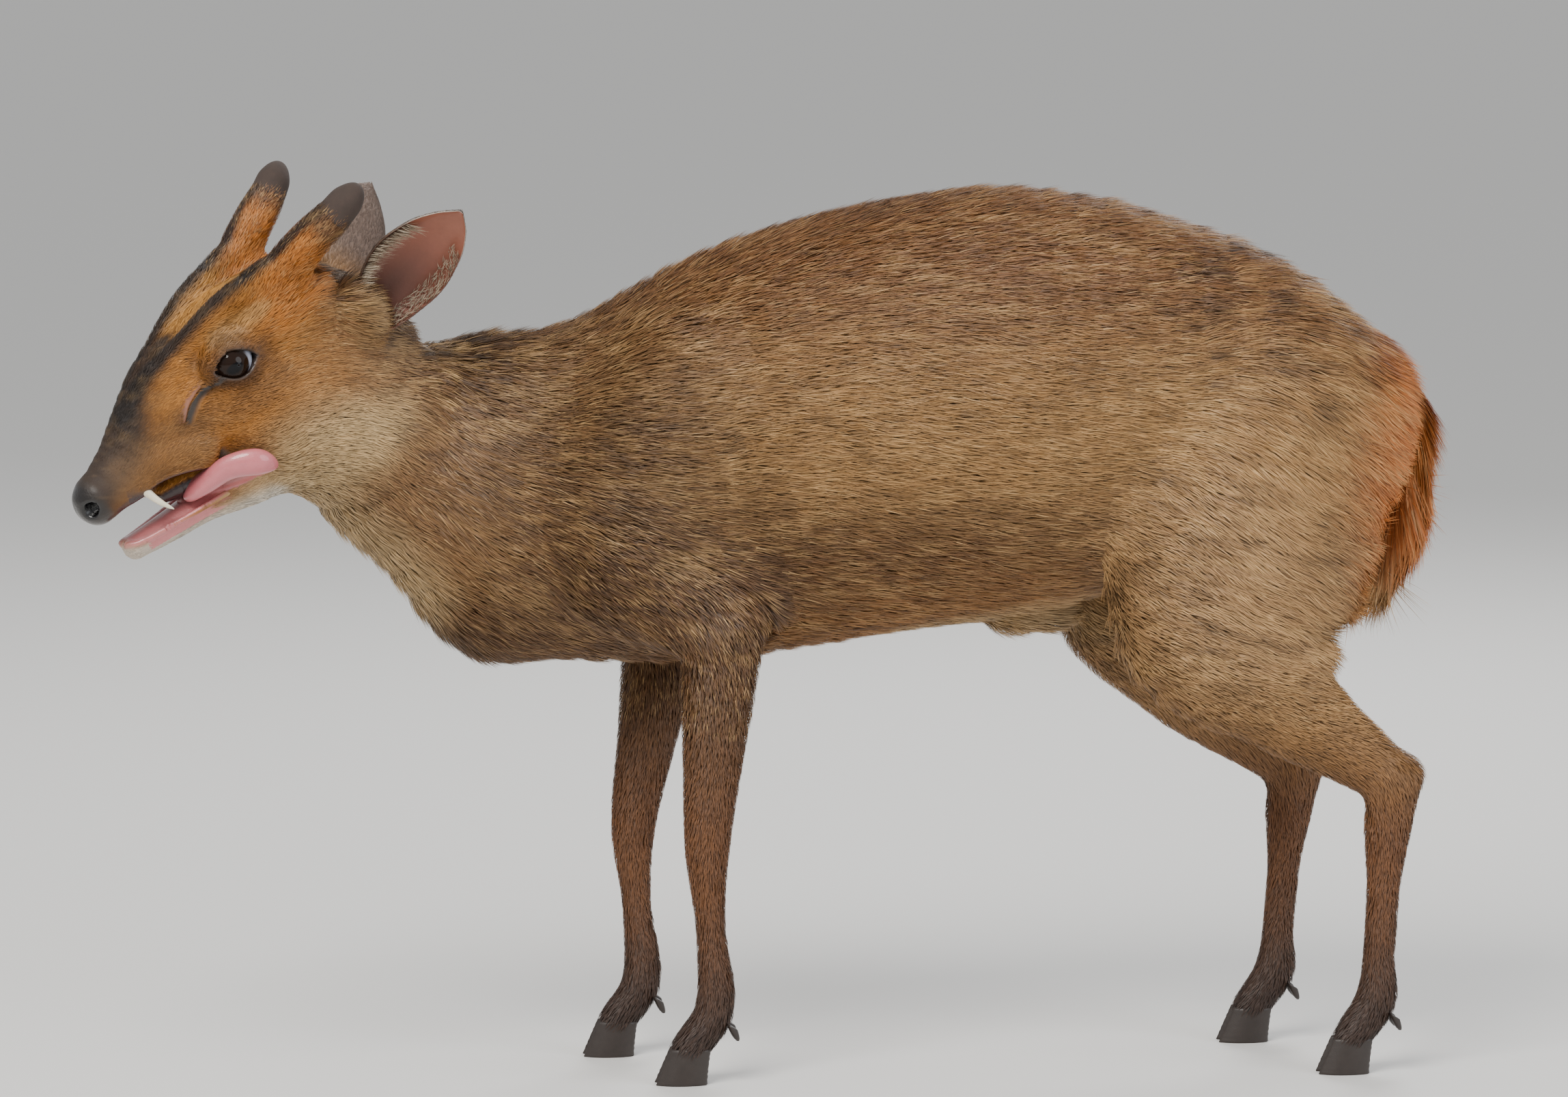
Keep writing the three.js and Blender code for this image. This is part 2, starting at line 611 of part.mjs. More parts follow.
function antler(side) {
  const places = ANTLER.map((p) => ({ ...p, at: onSide(p.at, side) }));
  const along = onSide(ANTLER_CUT.along, side);
  const last = places[places.length - 1];
  const tip = { ...last, at: last.at.map((value, i) => value + along[i] * 0.45) };
  const shape = solid(limbLoft([...places, tip], 9, 12, { endRound: 0.55 }));
  return geometryOf(shape.intersect(blockBeyond(onSide(ANTLER_CUT.at, side), along, -GAP / 2)));
}

function tusk(side, headGrown) {
  const curve = new THREE.QuadraticBezierCurve3(...[TUSK.root, TUSK.mid, TUSK.tip]
    .map((at) => new THREE.Vector3(...onSide(at, side))));
  const level = new THREE.Vector3(0, 1, 0);
  const rings = [0, 0.25, 0.5, 0.75, 0.92, 1].map((t) => {
    const along = curve.getTangent(t);
    const right = level.clone().addScaledVector(along, -level.dot(along)).normalize();
    const up = along.clone().cross(right);
    const radius = TUSK.radius * (1 - t) ** 0.6 + 0.3;
    return Array.from({ length: 8 }, (_, s) => curve.getPoint(t)
      .addScaledVector(right, 0.75 * radius * Math.cos((Math.PI * s) / 4))
      .addScaledVector(up, radius * Math.sin((Math.PI * s) / 4)));
  });
  return geometryOf(solid(loft(rings)).subtract(headGrown));
}

function tongue(headGrown, jawGeometry) {
  const shape = solid(limbLoft(TONGUE, 11, 10, { startRound: 0.15, endRound: 0.3 }));
  return geometryOf(shape.subtract(headGrown).subtract(solid(jawGeometry)));
}

/** A value read from a short table of [place, value] pairs, smoothed between them. */
function along(table, t) {
  const last = table.findIndex(([place]) => place >= t);
  if (last <= 0) return table[0][1];
  const [[t0, v0], [t1, v1]] = [table[last - 1], table[last]];
  return v0 + (v1 - v0) * THREE.MathUtils.smoothstep((t - t0) / (t1 - t0), 0, 1);
}

/** An ear: a thin leaf-shaped cup. Each ring runs along its back from edge to edge and returns inside. */
function ear({ root, tip, opens }, headGrown) {
  const start = new THREE.Vector3(...root);
  const axis = new THREE.Vector3(...tip).sub(start);
  const lengthwise = axis.clone().normalize();
  const open = new THREE.Vector3(...opens);
  open.addScaledVector(lengthwise, -open.dot(lengthwise)).normalize();
  const across = lengthwise.clone().cross(open);
  const perFace = 8;
  const ringCount = 12;
  const rings = Array.from({ length: ringCount }, (_, i) => {
    const t = i / (ringCount - 1);
    const half = along(EAR_HALF_WIDTH, t);
    const depth = along(EAR_CUP_DEPTH, t);
    const bow = 5 * Math.sin(Math.PI * t);
    const centre = start.clone().addScaledVector(axis, t).addScaledVector(open, -bow);
    const point = (s, inset) => {
      const angle = Math.PI * s;
      const thick = Math.min(inset, depth * 0.45);
      return centre.clone()
        .addScaledVector(across, -Math.cos(angle) * (half - thick * Math.sin(angle)))
        .addScaledVector(open, -(depth - thick) * Math.sin(angle) + (inset ? 0 : -0.6));
    };
    const back = Array.from({ length: perFace }, (_, s) => point(s / (perFace - 1), 0));
    const front = Array.from({ length: perFace }, (_, s) => point(1 - s / (perFace - 1), EAR_THICK));
    return [...back, ...front];
  });
  return geometryOf(solid(loft(rings)).subtract(headGrown));
}

// Legs

/** The block of the body that belongs to a foreleg or a hind leg, grown by the given distance. */
function legRegion(leg, grow) {
  if (leg.elbow) {
    const slope = THREE.MathUtils.degToRad(FORE_CUT.slope);
    const [x] = leg.elbow;
    return blockBeyond([x, leg.side * FORE_CUT.inner, 0], [0, leg.side, 0], grow)
      .intersect(blockBeyond([x, 0, FORE_CUT.top], [Math.sin(slope), 0, -Math.cos(slope)], grow))
      .intersect(blockBeyond([x - FORE_CUT.ahead, 0, 0], [1, 0, 0], grow))
      .intersect(blockBeyond([x + FORE_CUT.behind, 0, 0], [-1, 0, 0], grow));
  }
  const slope = THREE.MathUtils.degToRad(HIND_CUT.slope);
  return blockBeyond(HIND_CUT.at, [Math.sin(slope), 0, -Math.cos(slope)], grow)
    .intersect(blockBeyond([0, 0, 0], [0, leg.side, 0], grow));
}

/** The plane that parts the upper leg from the foot, at the wrist or the hock. */
function footPlane(leg) {
  if (leg.elbow) return { at: onSide(leg.wrist, leg.side), normal: [0, 0, -1] };
  return { at: onSide(leg.hock, leg.side), normal: [Math.cos(HOCK_TURN), 0, -Math.sin(HOCK_TURN)] };
}

/** Planes that the rings of a hind leg lie in, from above the thigh's cut to below the hock's. */
function hindLegPlanes({ side, knee, hock }) {
  const between = (t) => knee.map((value, i) => value + t * (hock[i] - value));
  const key = ([x, y, z], dx, dz, degrees) => ({
    at: new THREE.Vector3(x + dx, side * y, z + dz),
    turn: THREE.MathUtils.degToRad(degrees),
  });
  const cut = 90 - HIND_CUT.slope;
  return [key(between(0.3), 0, 72, cut), key(between(0.3), 2, 60, cut), key(between(0.3), 11, 26, 58),
    key(between(0.5), 0, 16, 44), key(between(0.72), 0, 5, 38), key(hock, 0, 0, 65), key(hock, 5, -11, 65)];
}

/** The planes with as many more set evenly between each two. */
function planesBetween(keys, more) {
  return keys.slice(1).flatMap((end, i) => Array.from({ length: more[i] }, (_, step) => {
    const t = step / more[i];
    return { at: keys[i].at.clone().lerp(end.at, t), turn: THREE.MathUtils.lerp(keys[i].turn, end.turn, t) };
  })).concat(keys[keys.length - 1]);
}

/** A ring's frame in a plane that is square to the animal's side and turned down from the level. */
function ringFrame({ at, turn }, reach) {
  return {
    centre: at, right: new THREE.Vector3(0, 1, 0), up: new THREE.Vector3(Math.sin(turn), 0, Math.cos(turn)), reach,
  };
}

/** The elbow and forearm, or the thigh and shank. */
function upperLeg(leg) {
  const plane = footPlane(leg);
  let rings;
  if (leg.elbow) {
    const path = smoothPlaces([{ at: [leg.elbow[0], leg.side * 50, 275], deep: 1, wide: 1 }, ...forelegPlaces(leg)], 8);
    rings = FORELEG_LEVELS.map((rise) => {
      const level = leg.wrist[2] + rise;
      const place = path.reduce((best, p) => (Math.abs(p.at.z - level) < Math.abs(best.at.z - level) ? p : best));
      const at = new THREE.Vector3(place.at.x, place.at.y, level);
      return ringOn(bodyField, ringFrame({ at, turn: Math.PI / 2 }, 62), 14);
    });
  } else {
    rings = planesBetween(hindLegPlanes(leg), [1, 2, 3, 3, 3, 1])
      .map((key) => ringOn(bodyField, ringFrame(key, 105), 20));
  }
  const cut = blockBeyond(plane.at, plane.normal, GAP / 2);
  return geometryOf(solid(loft(rings)).intersect(legRegion(leg, -GAP / 2)).subtract(cut));
}

function foot(leg) {
  const plane = footPlane(leg);
  const places = leg.elbow ? forelegPlaces(leg).slice(2) : hindFootPlaces(leg);
  const before = places[0].at.map((value, i) => value - 14 * plane.normal[i]);
  const after = places[places.length - 1].at.map((value, i) => value + [-2, 0, -6][i]);
  const rings = ringsAlong([{ at: before }, ...places, { at: after }], leg.elbow ? 12 : 14, 40)
    .map((ring) => ringOn(bodyField, ring, 14));
  const shape = solid(loft(rings)).intersect(blockBeyond(plane.at, plane.normal, -GAP / 2));
  return geometryOf(shape.intersect(blockBeyond([0, 0, HOOF.height], [0, 0, 1], -GAP / 2)));
}

/** One half of a cloven hoof: a flat sole, a pointed toe and a wall that leans back to the coronet. */
function hoofHalf(inner) {
  const { length, width, height } = HOOF;
  const levels = [[0, 1, 0], [0.3, 0.98, 0.03], [0.7, 0.88, 0.12], [0.985, 0.76, 0.19]];
  const sides = 12;
  const rings = levels.map(([rise, size, back]) => Array.from({ length: sides }, (_, s) => {
    const angle = (2 * Math.PI * s) / sides;
    const along = Math.cos(angle);
    const toward = -Math.max(-along, 0);
    const across = Math.sin(angle) * (1 + 0.62 * toward ** 3);
    const flat = Math.sign(across) === inner ? 0.82 : 1;
    const x = (along * length * 0.5) * size + back * length;
    return new THREE.Vector3(x, across * flat * width * 0.5 * (0.35 + 0.65 * size), rise * height);
  }));
  return loft(rings);
}

/** A dewclaw: a short blunt horn cone that points down and back. */
function dewclaw(footGeometry, place) {
  const { length, radius, slant } = DEWCLAW;
  const rings = [[0, 1], [0.5, 0.9], [0.88, 0.5], [1, 0.12]].map(([t, size]) => (
    Array.from({ length: 6 }, (_, s) => new THREE.Vector3(
      place.x + t * length * slant + radius * size * 0.8 * Math.cos((Math.PI * s) / 3),
      place.y + radius * size * Math.sin((Math.PI * s) / 3),
      place.z - t * length - radius * size * 0.5 * Math.cos((Math.PI * s) / 3)))));
  return geometryOf(solid(loft(rings)).subtract(solid(footGeometry)));
}

// Tail

/** A flat tapered lock of hair that bends as it hangs. */
function lock(root, outward, length, width, thick) {
  const flat = outward.clone().cross(new THREE.Vector3(0, 0, 1)).normalize();
  const rings = [0, 0.4, 0.78, 1].map((t) => {
    const centre = root.clone().addScaledVector(outward, length * (0.62 * t - 0.24 * t * t));
    centre.z -= length * (0.55 * t + 0.4 * t * t);
    const size = 1 - 0.86 * t ** 1.6;
    const down = new THREE.Vector3(0, 0, 1).addScaledVector(outward, 0.8).normalize();
    return Array.from({ length: 6 }, (_, s) => centre.clone()
      .addScaledVector(down, 0.5 * width * size * Math.cos((Math.PI * s) / 3))
      .addScaledVector(flat, 0.5 * thick * size * Math.sin((Math.PI * s) / 3)));
  });
  return solid(loft(rings));
}

function tail(torsoGeometry) {
  const core = limbLoft(TAIL, 12, 14, { startRound: 0.08, endRound: 0.22 });
  const curve = new THREE.CatmullRomCurve3(TAIL.map((p) => new THREE.Vector3(...p.at)), false, 'centripetal');
  const fine = smoothPlaces(TAIL, 8);
  let shape = solid(core);
  for (const side of Object.values(SIDES)) {
    for (let i = 0; i < FRINGE.locks; i += 1) {
      const t = FRINGE.from + ((FRINGE.to - FRINGE.from) * i) / (FRINGE.locks - 1);
      const place = fine[Math.round(t * (fine.length - 1))];
      const spread = i === FRINGE.locks - 1 ? 0.25 : 0.62;
      const root = curve.getPointAt(t).add(new THREE.Vector3(0, side * place.wide * spread, 0));
      const outward = new THREE.Vector3(-0.12, side * (1.1 - 0.75 * t), 0).normalize();
      const length = FRINGE.length * (0.8 + 0.3 * t + 0.08 * Math.sin(5 * i));
      shape = shape.add(lock(root, outward, length, FRINGE.width, FRINGE.thick));
    }
  }
  return geometryOf(shape.subtract(solid(torsoGeometry)));
}

// The animal

function material([colour, roughness]) {
  return new THREE.MeshStandardMaterial({ color: colour, roughness, metalness: 0 });
}

function named(name, geometry, colour) {
  const mesh = new THREE.Mesh(geometry, material(colour));
  mesh.name = name;
  return mesh;
}

function headGroup() {
  const group = new THREE.Group();
  const headGrown = plainHead(GAP);
  const jaw = lowerJaw(headGrown);
  group.add(named('head', head(), COLOURS.face));
  group.add(named('lower_jaw', jaw, COLOURS.mouth));
  group.add(named('nose_pad', nosePad(), COLOURS.nose));
  group.add(named('tongue', tongue(headGrown, jaw), COLOURS.mouth));
  for (const [word, side] of Object.entries(SIDES)) {
    const eyeball = named(`eye_${word}`, new THREE.SphereGeometry(EYE.radius, 14, 10), COLOURS.eye);
    eyeball.position.set(...onSide(EYE.at, side));
    group.add(eyeball);
    group.add(named(`ear_${word}`, ear(EARS[word], headGrown), COLOURS.ear));
    group.add(named(`pedicle_${word}`, pedicle(side, headGrown), COLOURS.pedicle));
    group.add(named(`antler_${word}`, antler(side), COLOURS.velvet));
    group.add(named(`tusk_${word}`, tusk(side, headGrown), COLOURS.ivory));
  }
  group.applyMatrix4(headMatrix);
  return group;
}

function legGroup(name, leg) {
  const group = new THREE.Group();
  const footGeometry = foot(leg);
  group.add(named(`${name}_upper`, upperLeg(leg), COLOURS.coat));
  group.add(named(`${name}_foot`, footGeometry, COLOURS.coat));
  for (const [word, side] of [['inner', -leg.side], ['outer', leg.side]]) {
    const half = named(`${name}_hoof_${word}`, hoofHalf(-side), COLOURS.hoof);
    const beside = (HOOF.width * 0.41 + HOOF.between);
    half.position.set(leg.toe[0] - HOOF.length * 0.2, leg.side * leg.toe[1] + side * beside, 0);
    group.add(half);
    const place = new THREE.Vector3(leg.fetlock[0] + DEWCLAW.back,
      leg.side * leg.fetlock[1] + side * DEWCLAW.spread, DEWCLAW.height);
    group.add(named(`${name}_dewclaw_${word}`, dewclaw(footGeometry, place), COLOURS.hoof));
  }
  return group;
}

const muntjac = new THREE.Group();
const torsoGeometry = torso();
muntjac.add(named('torso', torsoGeometry, COLOURS.coat));
muntjac.add(named('neck', neck(), COLOURS.coat));
muntjac.add(headGroup());
for (const [name, leg] of Object.entries(LEGS)) muntjac.add(legGroup(name, leg));
muntjac.add(named('tail', tail(torsoGeometry), COLOURS.tail));

// The origin is the middle of the animal's box, on the ground
muntjac.updateMatrixWorld(true);
const box = new THREE.Box3().setFromObject(muntjac, true);
const middle = box.getCenter(new THREE.Vector3());
muntjac.position.set(-middle.x, -middle.y, -box.min.z);

export default muntjac;
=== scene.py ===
"""Museum model of a male muntjac that stands with its mouth open and its tongue out.

The animal is built in millimetres in its own frame, with its nose towards -X and its left side towards -Y,
and is moved into the row frame when the meshes are made.
"""
from __future__ import annotations

import logging
import math
from dataclasses import dataclass
from enum import Enum
from itertools import product
from typing import Iterator, Protocol, Sequence

import bmesh
import bpy
import numpy as np
import openvdb
from mathutils import Matrix, Vector

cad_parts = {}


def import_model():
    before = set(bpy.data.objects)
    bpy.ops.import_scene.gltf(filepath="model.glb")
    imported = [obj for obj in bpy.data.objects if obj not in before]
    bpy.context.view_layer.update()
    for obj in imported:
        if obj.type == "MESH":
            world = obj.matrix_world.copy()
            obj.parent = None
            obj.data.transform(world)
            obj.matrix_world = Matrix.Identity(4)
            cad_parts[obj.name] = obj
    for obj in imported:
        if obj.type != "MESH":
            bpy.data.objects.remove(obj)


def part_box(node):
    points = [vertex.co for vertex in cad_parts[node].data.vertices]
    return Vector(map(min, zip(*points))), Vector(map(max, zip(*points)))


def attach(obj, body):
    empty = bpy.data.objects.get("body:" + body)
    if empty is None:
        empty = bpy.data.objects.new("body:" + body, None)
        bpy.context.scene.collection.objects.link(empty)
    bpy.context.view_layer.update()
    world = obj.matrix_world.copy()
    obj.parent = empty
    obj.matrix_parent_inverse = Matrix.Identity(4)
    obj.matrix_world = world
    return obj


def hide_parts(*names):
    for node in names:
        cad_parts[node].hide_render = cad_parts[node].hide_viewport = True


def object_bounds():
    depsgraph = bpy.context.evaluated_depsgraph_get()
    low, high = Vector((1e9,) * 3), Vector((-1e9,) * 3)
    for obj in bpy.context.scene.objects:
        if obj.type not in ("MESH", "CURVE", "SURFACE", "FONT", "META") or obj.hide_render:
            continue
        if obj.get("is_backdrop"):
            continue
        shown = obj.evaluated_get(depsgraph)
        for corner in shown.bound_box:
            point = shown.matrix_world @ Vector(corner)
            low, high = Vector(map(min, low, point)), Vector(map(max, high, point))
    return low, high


LOG = logging.getLogger("muntjac")
MM = 0.001
FAR = np.float32(1e3)
SEED = 20261


class Side(Enum):
    """The two sides of the animal, as the sign of Y."""

    LEFT = -1
    RIGHT = 1

    @property
    def word(self) -> str:
        """The side as node names spell it."""
        return self.name.lower()


@dataclass(frozen=True)
class Place:
    """A place on a limb's path with its half depth and half width."""

    at: tuple[float, float, float]
    deep: float
    wide: float


def places(*rows: tuple[tuple[float, float, float], float, float]) -> tuple[Place, ...]:
    """Rows of (point, half depth, half width) as places."""
    return tuple(Place(*row) for row in rows)


TRUNK = places(
    ((-165, 0, 327), 86, 48), ((-115, 0, 327), 94, 58), ((-60, 0, 338), 108, 67), ((0, 0, 357), 118, 76),
    ((60, 0, 370), 122, 81), ((116, 0, 377), 123.5, 80), ((175, 0, 382.5), 112.5, 74),
    ((232, 0, 385), 90, 65), ((285, 0, 372), 70, 55), ((316, 0, 362), 56, 48))
RUMP_ROUND = 32.0
NECK = places(
    ((-140, 0, 327), 90, 48), ((-201, -8, 351), 67, 42), ((-240, -26, 371), 54, 38),
    ((-266, -40, 386), 44, 34))
SHEATH = ((138, 0, 257), (26, 13, 11))
SHOULDER = places(((-62, 34, 396), 38, 26), ((-88, 40, 355), 44, 28), ((-104, 42, 305), 38, 26))
TAIL = places(
    ((330, 0, 396), 12, 15), ((350, 0, 380), 10, 18), ((355.5, 0, 350), 9.5, 20),
    ((352, 0, 315), 9, 19), ((343, 0, 290), 7.5, 14))
TAIL_FROM = 325

# The head in its own frame: x back from the nose, y to the side, z to the crown
HEAD_NOSE = (-396.0, -92.0, 334.6)
HEAD_TURN = {"yaw": 22.0, "pitch": 30.0, "roll": 6.0}
SKULL = places(
    ((14, 0, -5), 12.5, 13.5), ((37, 0, 3), 17.2, 16.5), ((59, 0, 10.3), 26.2, 20.5),
    ((80, 0, 15), 35, 25.5), ((100, 0, 10), 44, 31), ((122, 0, 7), 51, 36),
    ((148, 0, 5), 52, 37), ((170, 0, -3), 42, 35), ((188, 0, -14), 28, 31))
JAW = places(
    ((19, 0, -41), 7.2, 8), ((40, 0, -42), 8.6, 11), ((65, 0, -42.5), 9.6, 15),
    ((95, 0, -48), 11, 21), ((118, 0, -44), 18, 25))
THROAT = places(((108, 0, -45), 16, 24), ((130, 0, -42), 24, 28), ((160, 0, -40), 34, 32))
FOREHEAD_RIDGE = places(
    ((68, 8, 34), 6, 6), ((95, 15, 47), 8, 7), ((120, 20, 55), 9, 8), ((146, 25, 56), 12, 11))
LIP_FLESH = places(
    ((20, 8, -6), 8, 6), ((32, 11, -5), 9, 6), ((42, 13.5, -2.5), 9, 6.5), ((56, 16, -3), 10, 7),
    ((74, 19, -8), 11, 8))
CHEEK = ((124, 23, -20), (29, 15, 30))
ORBIT = ((107, 28, 30), (19, 9.5, 14))
EAR_BASE = ((182, 30, 15), (17, 13, 22))
TEMPLE = ((150, 24, 36), (30, 15, 24))
NOSE = ((11, 0, -6), (12, 13.6, 13.4))
NOSTRIL = ((5, 8.4, -5.5), (6.5, 3, 4))
EYE_AT = (107.0, 22.4, 28.4)
EYE_RADIUS = 14.0
EYE_OPENING = (26.0, 15.5)
EYE_SLANT = 10.0
EYE_GAZE = (-0.16, 1.0, -0.04)
PUPIL_SIZE = (0.34, 0.2)
CORNEA = 0.055
PHILTRUM = {"radius": 13.5, "half_width": 0.9, "front": 9.0, "top": -2.0}
LID = {"flesh": 1.3, "rim_at": 0.6, "rim_half": 0.2, "rim_rise": 0.7, "rim_radius": 1.15,
       "crease_at": 5.2, "crease_rise": 2.2, "crease_radius": 0.7, "depth": 5.0}
# Lines on the side of the head, which are laid on the skin wherever it is
GLAND = places(
    ((72, 0, 11.5), 1.0, 1.0), ((77, 0, 17), 1.5, 1.5), ((84, 0, 21.5), 1.1, 1.1), ((94, 0, 25), 0.5, 0.5))
GLAND_FOLD = places(((69, 0, 14), 0.8, 0.8), ((74.5, 0, 21.5), 1.2, 1.2), ((84, 0, 27), 0.5, 0.5))
EYE_LINE = places(((86, 0, 22), 1.2, 1.2), ((98, 0, 27), 1.5, 1.5))
MOUTH_DEEP = places(
    ((46, 0, -24), 5, 7), ((60, 0, -25), 8, 11), ((80, 0, -30), 12, 17), ((104, 0, -34), 14, 22))
PEDICLE = places(
    ((140, 20, 38), 15, 14), ((158, 28, 54), 15, 13.5), ((179, 36, 66), 12.6, 12), ((195, 42, 73), 10.2, 10))
ANTLER = places(((191, 40.5, 71), 10, 9.8), ((199, 43.5, 75), 9.6, 9.4), ((205, 46, 78), 9, 8.8),
                ((211.3, 48.3, 81.6), 8.4, 8.2))
TUSK = places(
    ((33, 11.5, -5), 2.6, 2.0), ((35.2, 13.9, -13), 2.4, 1.8), ((38.5, 16.6, -21), 1.7, 1.3),
    ((43, 18.5, -28), 0.5, 0.4))
TONGUE = places(
    ((56, -4, -30), 3.5, 9), ((66, -16, -26), 5.5, 8), ((79, -29, -21.5), 7, 5.5),
    ((91, -36, -24.5), 7.5, 5), ((101, -37, -33), 6.5, 4.5))
UPPER_LIP = places(
    ((17, 7.5, -13.2), 1.5, 1.5), ((32, 11.5, -13), 1.6, 1.6), ((42, 14.5, -10.4), 1.6, 1.6),
    ((56, 17.5, -11.8), 1.7, 1.7), ((72, 20.5, -17.5), 1.8, 1.8), ((84, 23, -26), 1.8, 1.8))
LOWER_LIP = places(
    ((13.5, 3, -36), 1.5, 1.5), ((20, 7.6, -37.5), 1.5, 1.5), ((36, 10.8, -38), 1.6, 1.6),
    ((54, 14.3, -38), 1.7, 1.7), ((74, 19, -37), 1.8, 1.8))

EARS = {
    Side.LEFT: {"root": (185.5, -32.3, 4.7), "tip": (248.5, -70, 44), "opens": (-0.35, -0.9, -0.1)},
    Side.RIGHT: {"root": (193.5, 32.8, 6.8), "tip": (258, 63, 36), "opens": (-0.55, 0.8, -0.1)},
}
EAR_THICK = 2.0
EAR_HALF_WIDTH = ((0, 12), (0.2, 19), (0.45, 23.5), (0.7, 19.5), (0.88, 11.5), (1, 1.6))
EAR_CUP_DEPTH = ((0, 15), (0.2, 15), (0.45, 11), (0.7, 7), (0.88, 4), (1, 1.2))

HOOF = {"length": 29.0, "width": 10.2, "height": 20.6, "between": 0.6,
        "taper": 0.24, "lean": 0.19, "point": 0.62, "inner_flat": 0.82, "ridge": 0.012}
DEWCLAW = {"length": 8.0, "radius": 3.8, "spread": 7.0, "back": 9.5, "height": 33.0, "slant": 0.3}


def srgb(red: int, green: int, blue: int) -> np.ndarray:
    """An sRGB colour of 0 to 255 as linear values."""
    values = np.array([red, green, blue]) / 255
    return np.where(values <= 0.04045, values / 12.92, ((values + 0.055) / 1.055) ** 2.4)


def mix(first: np.ndarray, second: np.ndarray, share: np.ndarray) -> np.ndarray:
    """Rows of colour between first and second, by the second's share in each row."""
    return first + (second - first) * share[:, None]


def within(value: np.ndarray, low: float, high: float) -> np.ndarray:
    """True where the value lies between low and high."""
    return (value > low) & (value < high)


def smoothstep(value: np.ndarray, low: float, high: float) -> np.ndarray:
    """0 below low, 1 above high, and smooth between them. Low may be the greater."""
    t = np.clip((value - low) / (high - low), 0, 1)
    return t * t * (3 - 2 * t)


def unit(vectors: np.ndarray) -> np.ndarray:
    """Rows scaled to length 1."""
    return vectors / np.maximum(np.linalg.norm(vectors, axis=-1, keepdims=True), 1e-9)


def blend(a: np.ndarray, b: np.ndarray, k: float) -> np.ndarray:
    """Smooth union of two distances, rounded over the length k."""
    h = np.maximum(k - np.abs(a - b), 0) / k
    return np.minimum(a, b) - h * h * k / 4


def carve(a: np.ndarray, b: np.ndarray, k: float) -> np.ndarray:
    """The shape a with the shape b taken out of it, its rim rounded over the length k."""
    return -blend(-a, b, k)


# Shapes


class Shape(Protocol):
    """A shape that tells the distance of points to its surface, negative inside."""

    low: np.ndarray
    high: np.ndarray

    def distance(self, points: np.ndarray) -> np.ndarray:
        """Distance of each point in millimetres."""


def near(shape: Shape, points: np.ndarray, margin: float) -> np.ndarray:
    """True for the points within the shape's box grown by the margin."""
    return np.all((points > shape.low - margin) & (points < shape.high + margin), axis=1)


def spline(knots: np.ndarray, times: np.ndarray) -> np.ndarray:
    """Centripetal Catmull-Rom curve through the knots, read at times from 0 to 1."""
    padded = np.vstack([2 * knots[0] - knots[1], knots, 2 * knots[-1] - knots[-2]])
    values = []
    for time in times:
        position = min(time * (len(knots) - 1), len(knots) - 1 - 1e-9)
        i = int(position)
        t = position - i
        x0, x1, x2, x3 = padded[i:i + 4]
        gaps = [math.sqrt(np.linalg.norm(b - a)) for a, b in ((x0, x1), (x1, x2), (x2, x3))]
        middle = gaps[1] if gaps[1] > 1e-4 else 1.0
        before, after = (g if g > 1e-4 else middle for g in (gaps[0], gaps[2]))
        t1 = ((x1 - x0) / before - (x2 - x0) / (before + middle) + (x2 - x1) / middle) * middle
        t2 = ((x2 - x1) / middle - (x3 - x1) / (middle + after) + (x3 - x2) / after) * middle
        bend = 3 * (x2 - x1) - 2 * t1 - t2
        values.append(x1 + t1 * t + bend * t ** 2 + (2 * (x1 - x2) + t1 + t2) * t ** 3)
    return np.array(values)


